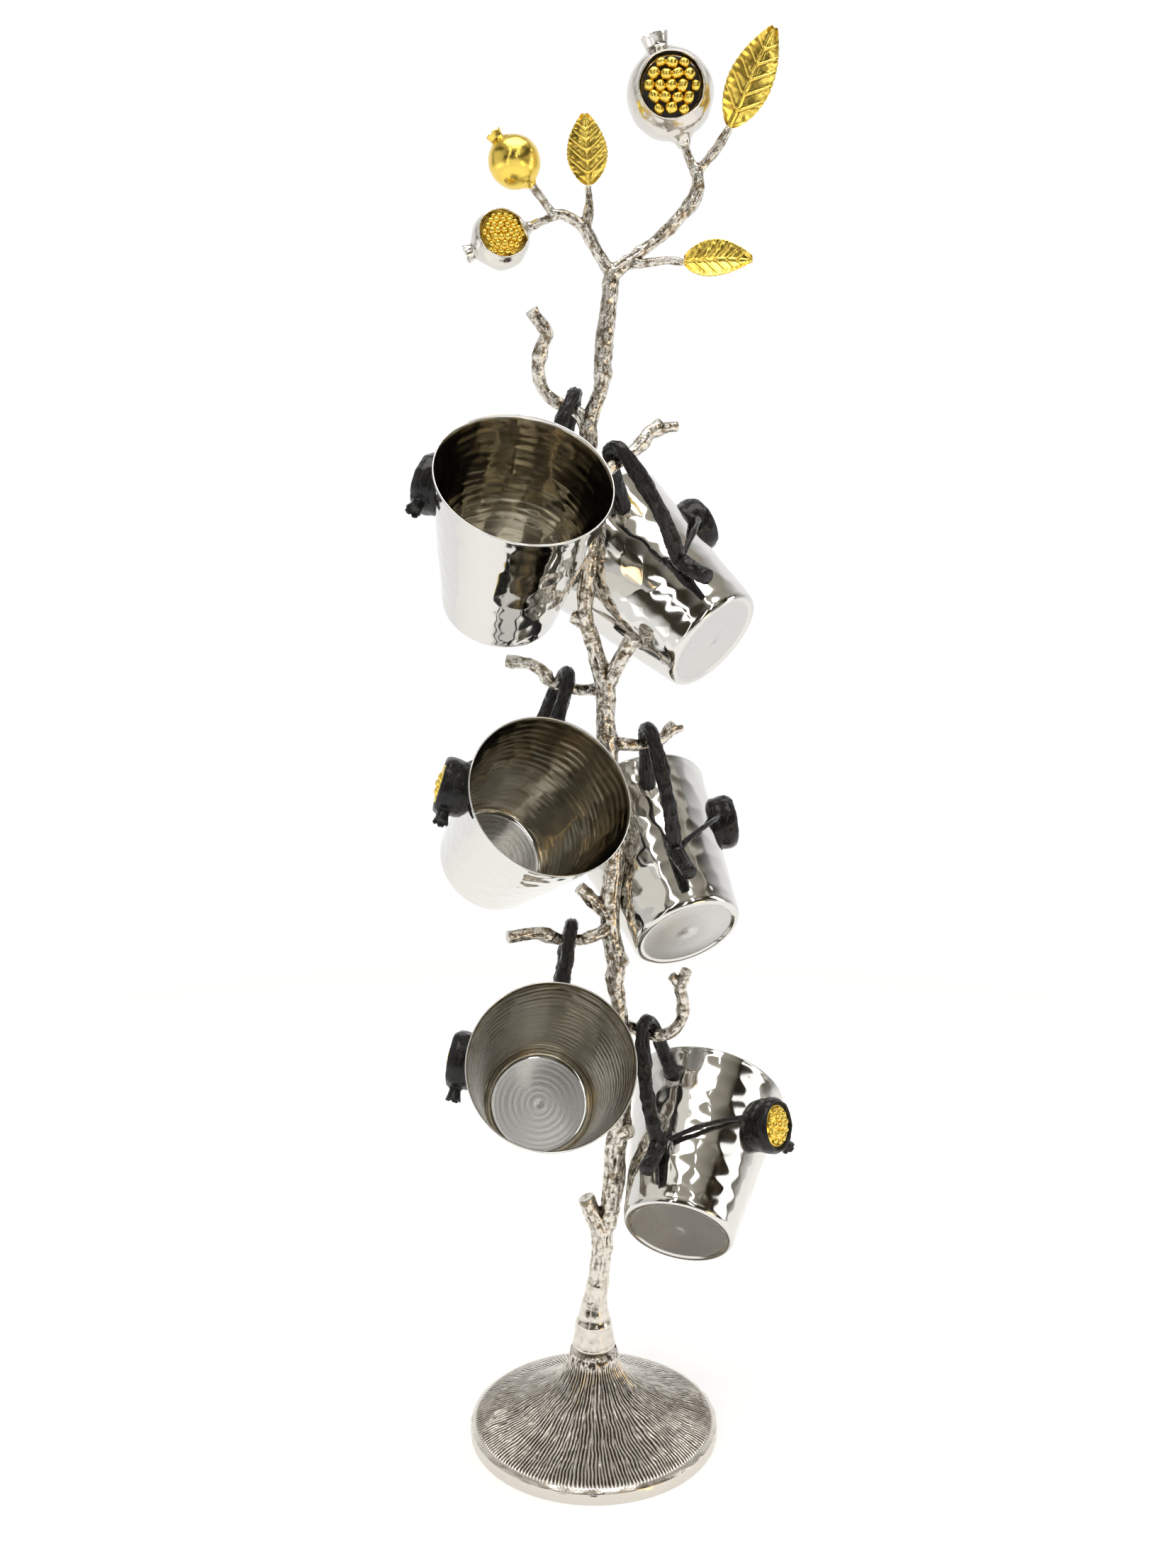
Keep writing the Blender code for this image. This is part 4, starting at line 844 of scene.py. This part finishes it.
def crown_fruit(name, centre, way, r, material, seed, window=None, window_r=0.0, teeth=5, bumps=0.3):
    """A fruit on its stem with its open crown, fused as cast."""
    if window:
        husk = open_husk(r, window_r, 1.2)
        parts = [turned("skin", husk, 130, seed, bumps, aim(window, centre), material, 6)]
    else:
        ball = [(r * math.cos(math.radians(a)), r * math.sin(math.radians(a))) for a in range(88, -89, -11)]
        parts = [turned("skin", ball, 90, seed, bumps, aim(way, centre), material, 5)]
    neck = [(0.2, r * 1.08), (r * 0.22, r * 1.07), (r * 0.3, r * 1.0), (r * 0.5, r * 0.84), (r * 0.3, r * 0.7),
            (0.2, r * 0.7)]
    parts.append(turned("neck", neck, 50, seed + 1, 0.12, aim(way, centre), material))
    rings = set_at(crown_rings(r * 0.37, r * 0.33, teeth, seed + 2), aim(way, centre + way * r * 0.96))
    parts.append(piece("teeth", rings * MM, [material]))
    stem = [(0.2, -r * 0.7), (r * 0.52, -r * 0.83), (r * 0.31, -r * 0.96), (r * 0.2, -r * 1.06),
            (r * 0.14, -r * 1.2), (0.2, -r * 1.21)]
    parts.append(turned("stem", stem, 40, seed + 3, 0.08, aim(way, centre), material))
    fruit = joined(parts, name)
    run_together(fruit, 0.42 * MM, 2)
    mark_hollow(fruit, 0.00016)
    return fruit


big_way = Vector((-0.287, 0, 0.958))
big_at = Vector((37.6, 0, 599.9)) + big_way * 18.9
big_window = Vector((0, -1, 0.02))
big_r, big_window_r = 18.5, 13.3
fruit = crown_fruit("plated_pomegranate_big", big_at, big_way, big_r, plated_fruit, 800, big_window,
                    big_window_r)
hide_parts("pomegranate_big")
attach(fruit, "tree")
heap = seed_heap(big_r, big_window_r, 2.5, 2.0, 820, "gilt_seeds_big", big_window, big_at, black_bark)
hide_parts("seeds_big")
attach(heap, "tree")

gold_way = Vector((-0.62, -0.087, 0.78))
gold_at = Vector((-27.1, 0, 581.3)) + gold_way * 11.7
fruit = crown_fruit("gilt_pomegranate", gold_at, gold_way, 11.2, gilt, 840, teeth=6, bumps=0.22)
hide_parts("pomegranate_gold")
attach(fruit, "tree")

small_way = Vector((-0.916, -0.063, -0.395))
small_at = Vector((-28.7, 0.6, 563.9)) + small_way * 13.0
small_window = Vector((0.26, -1, 0.24))
small_r, small_window_r = 12.5, 10.2
fruit = crown_fruit("plated_pomegranate_small", small_at, small_way, small_r, plated_fruit, 860, small_window,
                    small_window_r, bumps=0.4)
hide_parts("pomegranate_small")
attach(fruit, "tree")
heap = seed_heap(small_r, small_window_r, 1.4, 4.4, 880, "gilt_seeds_small", small_window, small_at, gilt)
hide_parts("seeds_small")
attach(heap, "tree")

# ====================================================================================================
# Leaves. Three gilt castings on the ends of their twigs, each cupped along a raised middle vein, with
# five pairs of side veins and a slightly toothed edge.
# ====================================================================================================


def cast_leaf(name, node, base, tip, width, normal, droop, seed):
    """A solid leaf with veins raised on both faces."""
    along = tip - base
    up = (normal - along * normal.dot(along) / along.length_squared).normalized()
    across = along.normalized().cross(up)
    rows, half_columns = 130, 34
    length = along.length
    vein_pitch = length * 0.155
    front, back = [], []
    for i in range(rows):
        t = i / (rows - 1)
        half = width / 2 * (0.09 + 0.91 * math.sin(math.pi * min(1, t * 0.97 + 0.012) ** 0.82) ** 0.8)
        tooth = 0.35 * abs(math.sin(math.pi * (t * 15))) * math.sin(math.pi * t) ** 0.5
        half = max(half + tooth - 0.2, 0.35)
        for side, rows_out in ((1, front), (-1, back)):
            line = []
            for j in range(-half_columns, half_columns + 1):
                s = j / half_columns
                wide = abs(s) * half
                middle = 0.75 * math.exp(-(wide / 0.75) ** 2) * (1 - 0.6 * t)
                phase = (t * length - wide * 0.85) / vein_pitch
                nearest = abs(phase - round(phase)) * vein_pitch
                vein = 0.5 * math.exp(-(nearest / 0.42) ** 2) * math.exp(-(s / 0.95) ** 8)
                vein = vein * (0.4 < phase < 5.9)
                pillow = 0.5 * math.sin(math.pi * (phase % 1)) * min(1, wide / 2)
                lift = droop * math.sin(math.pi * t) + width * 0.12 * s * s
                thick = 0.55 * (1 - 0.6 * abs(s) ** 6) + middle + vein + pillow * side * 0.5
                edge = 1 if abs(j) < half_columns else 0.15
                point = base + along * t + across * (s * half) + up * (lift + side * thick * edge)
                line.append(point)
            rows_out.append(line)
    columns = []
    for f, b in zip(front, back):
        columns.append([tuple(p) for p in f] + [tuple(p) for p in reversed(b)])
    grid = np.array(columns)
    grid += 0.04 * lumps(grid, 1.6, seed)[..., None] + 0.12 * lumps(grid, 5, seed + 1)[..., None]
    leaf = piece(name, grid * MM, [gilt])
    mark_hollow(leaf, 0.0001)
    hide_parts(node)
    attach(leaf, "tree")


cast_leaf("gilt_leaf_top", "leaf_top", Vector((57.4, -0.5, 604.6)), Vector((75.6, -2.5, 643.6)), 19,
          Vector((0.1, -1, 0.1)), 2, 900)
cast_leaf("gilt_leaf_left", "leaf_left", Vector((-2.5, 0, 581.1)), Vector((-4.3, -2, 609.5)), 17.2,
          Vector((0, -1, 0.15)), 1.5, 910)
cast_leaf("gilt_leaf_right", "leaf_right", Vector((38.7, -3, 548.6)), Vector((67.5, -9, 548.2)), 17.6,
          Vector((0.05, -0.95, 0.35)), 1.5, 920)

# ====================================================================================================
# Underside. A felt disc is glued under the foot, over the nut and washer that draw the foot and the
# trunk together on a threaded stud.
# ====================================================================================================
felt, tree, surface = shader("black_felt", (0.03, 0.03, 0.032), 0.0, 0.95)
surface.inputs["Sheen Weight"].default_value = 0.35
fibres = ((0.3, (0.016, 0.016, 0.018)), (0.75, (0.07, 0.068, 0.066)))
noise_into(tree, surface.inputs["Base Color"], 700, fibres, 8)
rough_bump(tree, surface, 900, 0.0004, 0.8, 8)
zinc, tree, surface = shader("zinc_plated_steel", (0.62, 0.62, 0.60), 1.0, 0.36)
noise_into(tree, surface.inputs["Base Color"], 180, ((0.3, (0.50, 0.50, 0.47)), (0.7, (0.70, 0.69, 0.64))))
rough_bump(tree, surface, 1500, 0.00005, 0.4)
for node, material in (("felt_pad", felt), ("base_nut", zinc), ("base_washer", zinc), ("base_stud", zinc)):
    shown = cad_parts[node]
    shown.data.materials.clear()
    shown.data.materials.append(material)

# ====================================================================================================
# Studio. A pale floor, soft white panels round and above the work, and a dark side behind the viewer
# for the polished metal to mirror.
# ====================================================================================================
floor_r = 0.85
floor_sides = 96
turn = np.linspace(0, 2 * math.pi, floor_sides, endpoint=False)
edge = [(floor_r * math.cos(a), floor_r * math.sin(a), 0) for a in turn]
floor_mesh = bpy.data.meshes.new("floor")
floor_mesh.from_pydata(edge, [], [list(range(floor_sides))])
floor_obj = bpy.data.objects.new("floor", floor_mesh)
bpy.context.scene.collection.objects.link(floor_obj)
pale, tree, surface = shader("pale_floor", (0.88, 0.88, 0.88), 0.0, 0.7)
noise_into(tree, surface.inputs["Roughness"], 3, ((0.3, 0.62), (0.7, 0.75)))
surface.inputs["Emission Color"].default_value = (1, 1, 1, 1)
surface.inputs["Emission Strength"].default_value = 0.42
floor_mesh.materials.append(pale)


def panel(name, at, towards, wide, tall, power, colour=(1, 1, 1)):
    """A soft light panel."""
    light = bpy.data.lights.new(name, "AREA")
    light.shape = "RECTANGLE"
    light.size, light.size_y = wide, tall
    light.energy = power
    light.color = colour
    obj = bpy.data.objects.new(name, light)
    obj.location = at
    obj.rotation_euler = (Vector(towards) - Vector(at)).to_track_quat("-Z", "Y").to_euler()
    bpy.context.scene.collection.objects.link(obj)


panel("panel_left", (-1.25, -0.35, 0.6), (0, 0, 0.33), 1.0, 1.3, 2.6)
panel("panel_right", (1.3, -0.1, 0.6), (0, 0, 0.33), 0.4, 1.2, 2.2)
panel("panel_top", (0, -0.15, 1.5), (0, 0, 0.3), 1.0, 0.7, 8)
panel("panel_front", (0.35, -1.5, 1.0), (0, 0, 0.33), 0.16, 0.9, 1.5)
panel("panel_front_left", (-0.7, -1.3, 0.55), (0, 0, 0.33), 0.1, 1.1, 0.9)
panel("panel_high_left", (-0.42, -1.05, 1.3), (0, 0, 0.33), 0.13, 0.9, 1.3)
panel("panel_high_right", (0.5, -0.85, 1.25), (0, 0, 0.33), 0.1, 0.7, 0.8)
panel("panel_warm", (0.95, -1.0, 0.15), (0, 0, 0.35), 0.42, 0.3, 1.5, (1, 0.66, 0.28))

world = bpy.data.worlds.new("studio")
bpy.context.scene.world = world
world.use_nodes = True
tree = world.node_tree
sky = tree.nodes["Background"]
where = tree.nodes.new("ShaderNodeTexCoord")
split = tree.nodes.new("ShaderNodeSeparateXYZ")
tree.links.new(where.outputs["Generated"], split.inputs["Vector"])
room = tree.nodes.new("ShaderNodeTexNoise")
room.inputs["Scale"].default_value = 3.2
room.inputs["Detail"].default_value = 2.5
tree.links.new(where.outputs["Generated"], room.inputs["Vector"])
ramp = tree.nodes.new("ShaderNodeValToRGB")
stops = ((0.38, (0.02, 0.015, 0.010)), (0.49, (0.06, 0.048, 0.031)), (0.55, (0.16, 0.138, 0.10)),
         (0.64, (0.62, 0.59, 0.53)))
while len(ramp.color_ramp.elements) < len(stops):
    ramp.color_ramp.elements.new(0.5)
for element, (position, value) in zip(ramp.color_ramp.elements, stops):
    element.position = position
    element.color = (*value, 1)
tree.links.new(room.outputs["Fac"], ramp.inputs["Fac"])
last = ramp.outputs["Color"]
# which way each tone of the room takes over: behind the viewer, behind the work, overhead, and below
room_sides = (("Y", -0.4, -0.85, (0.05, 0.042, 0.028), 0.7), ("Y", -0.05, 0.8, (1.0, 1.0, 1.0), 1),
              ("Z", 0.62, 0.9, (0.40, 0.37, 0.31), 1), ("Z", -0.02, -0.25, (1.0, 1.0, 1.0), 1))
for axis, low, high, colour, most in room_sides:
    span = tree.nodes.new("ShaderNodeMapRange")
    span.interpolation_type = "SMOOTHSTEP"
    span.inputs["From Min"].default_value = low
    span.inputs["From Max"].default_value = high
    span.inputs["To Max"].default_value = most
    tree.links.new(split.outputs[axis], span.inputs["Value"])
    mix = tree.nodes.new("ShaderNodeMix")
    mix.data_type = "RGBA"
    mix.inputs["B"].default_value = (*colour, 1)
    tree.links.new(span.outputs["Result"], mix.inputs["Factor"])
    tree.links.new(last, mix.inputs["A"])
    last = mix.outputs["Result"]
# the metal mirrors the room, and the backdrop itself is plain white all round
seen = tree.nodes.new("ShaderNodeLightPath")
backdrop = tree.nodes.new("ShaderNodeMix")
backdrop.data_type = "RGBA"
backdrop.inputs["B"].default_value = (1, 1, 1, 1)
tree.links.new(seen.outputs["Is Camera Ray"], backdrop.inputs["Factor"])
tree.links.new(last, backdrop.inputs["A"])
tree.links.new(backdrop.outputs["Result"], sky.inputs["Color"])

eye = bpy.data.cameras.new("eye")
eye.lens = 34.18
eye.sensor_width = 36
camera = bpy.data.objects.new("eye", eye)
camera.location = (-0.00285, -0.6725, 0.427)
camera.rotation_euler = (math.radians(81), 0, 0)
bpy.context.scene.collection.objects.link(camera)
bpy.context.scene.camera = camera
bpy.context.scene.view_settings.view_transform = "Standard"
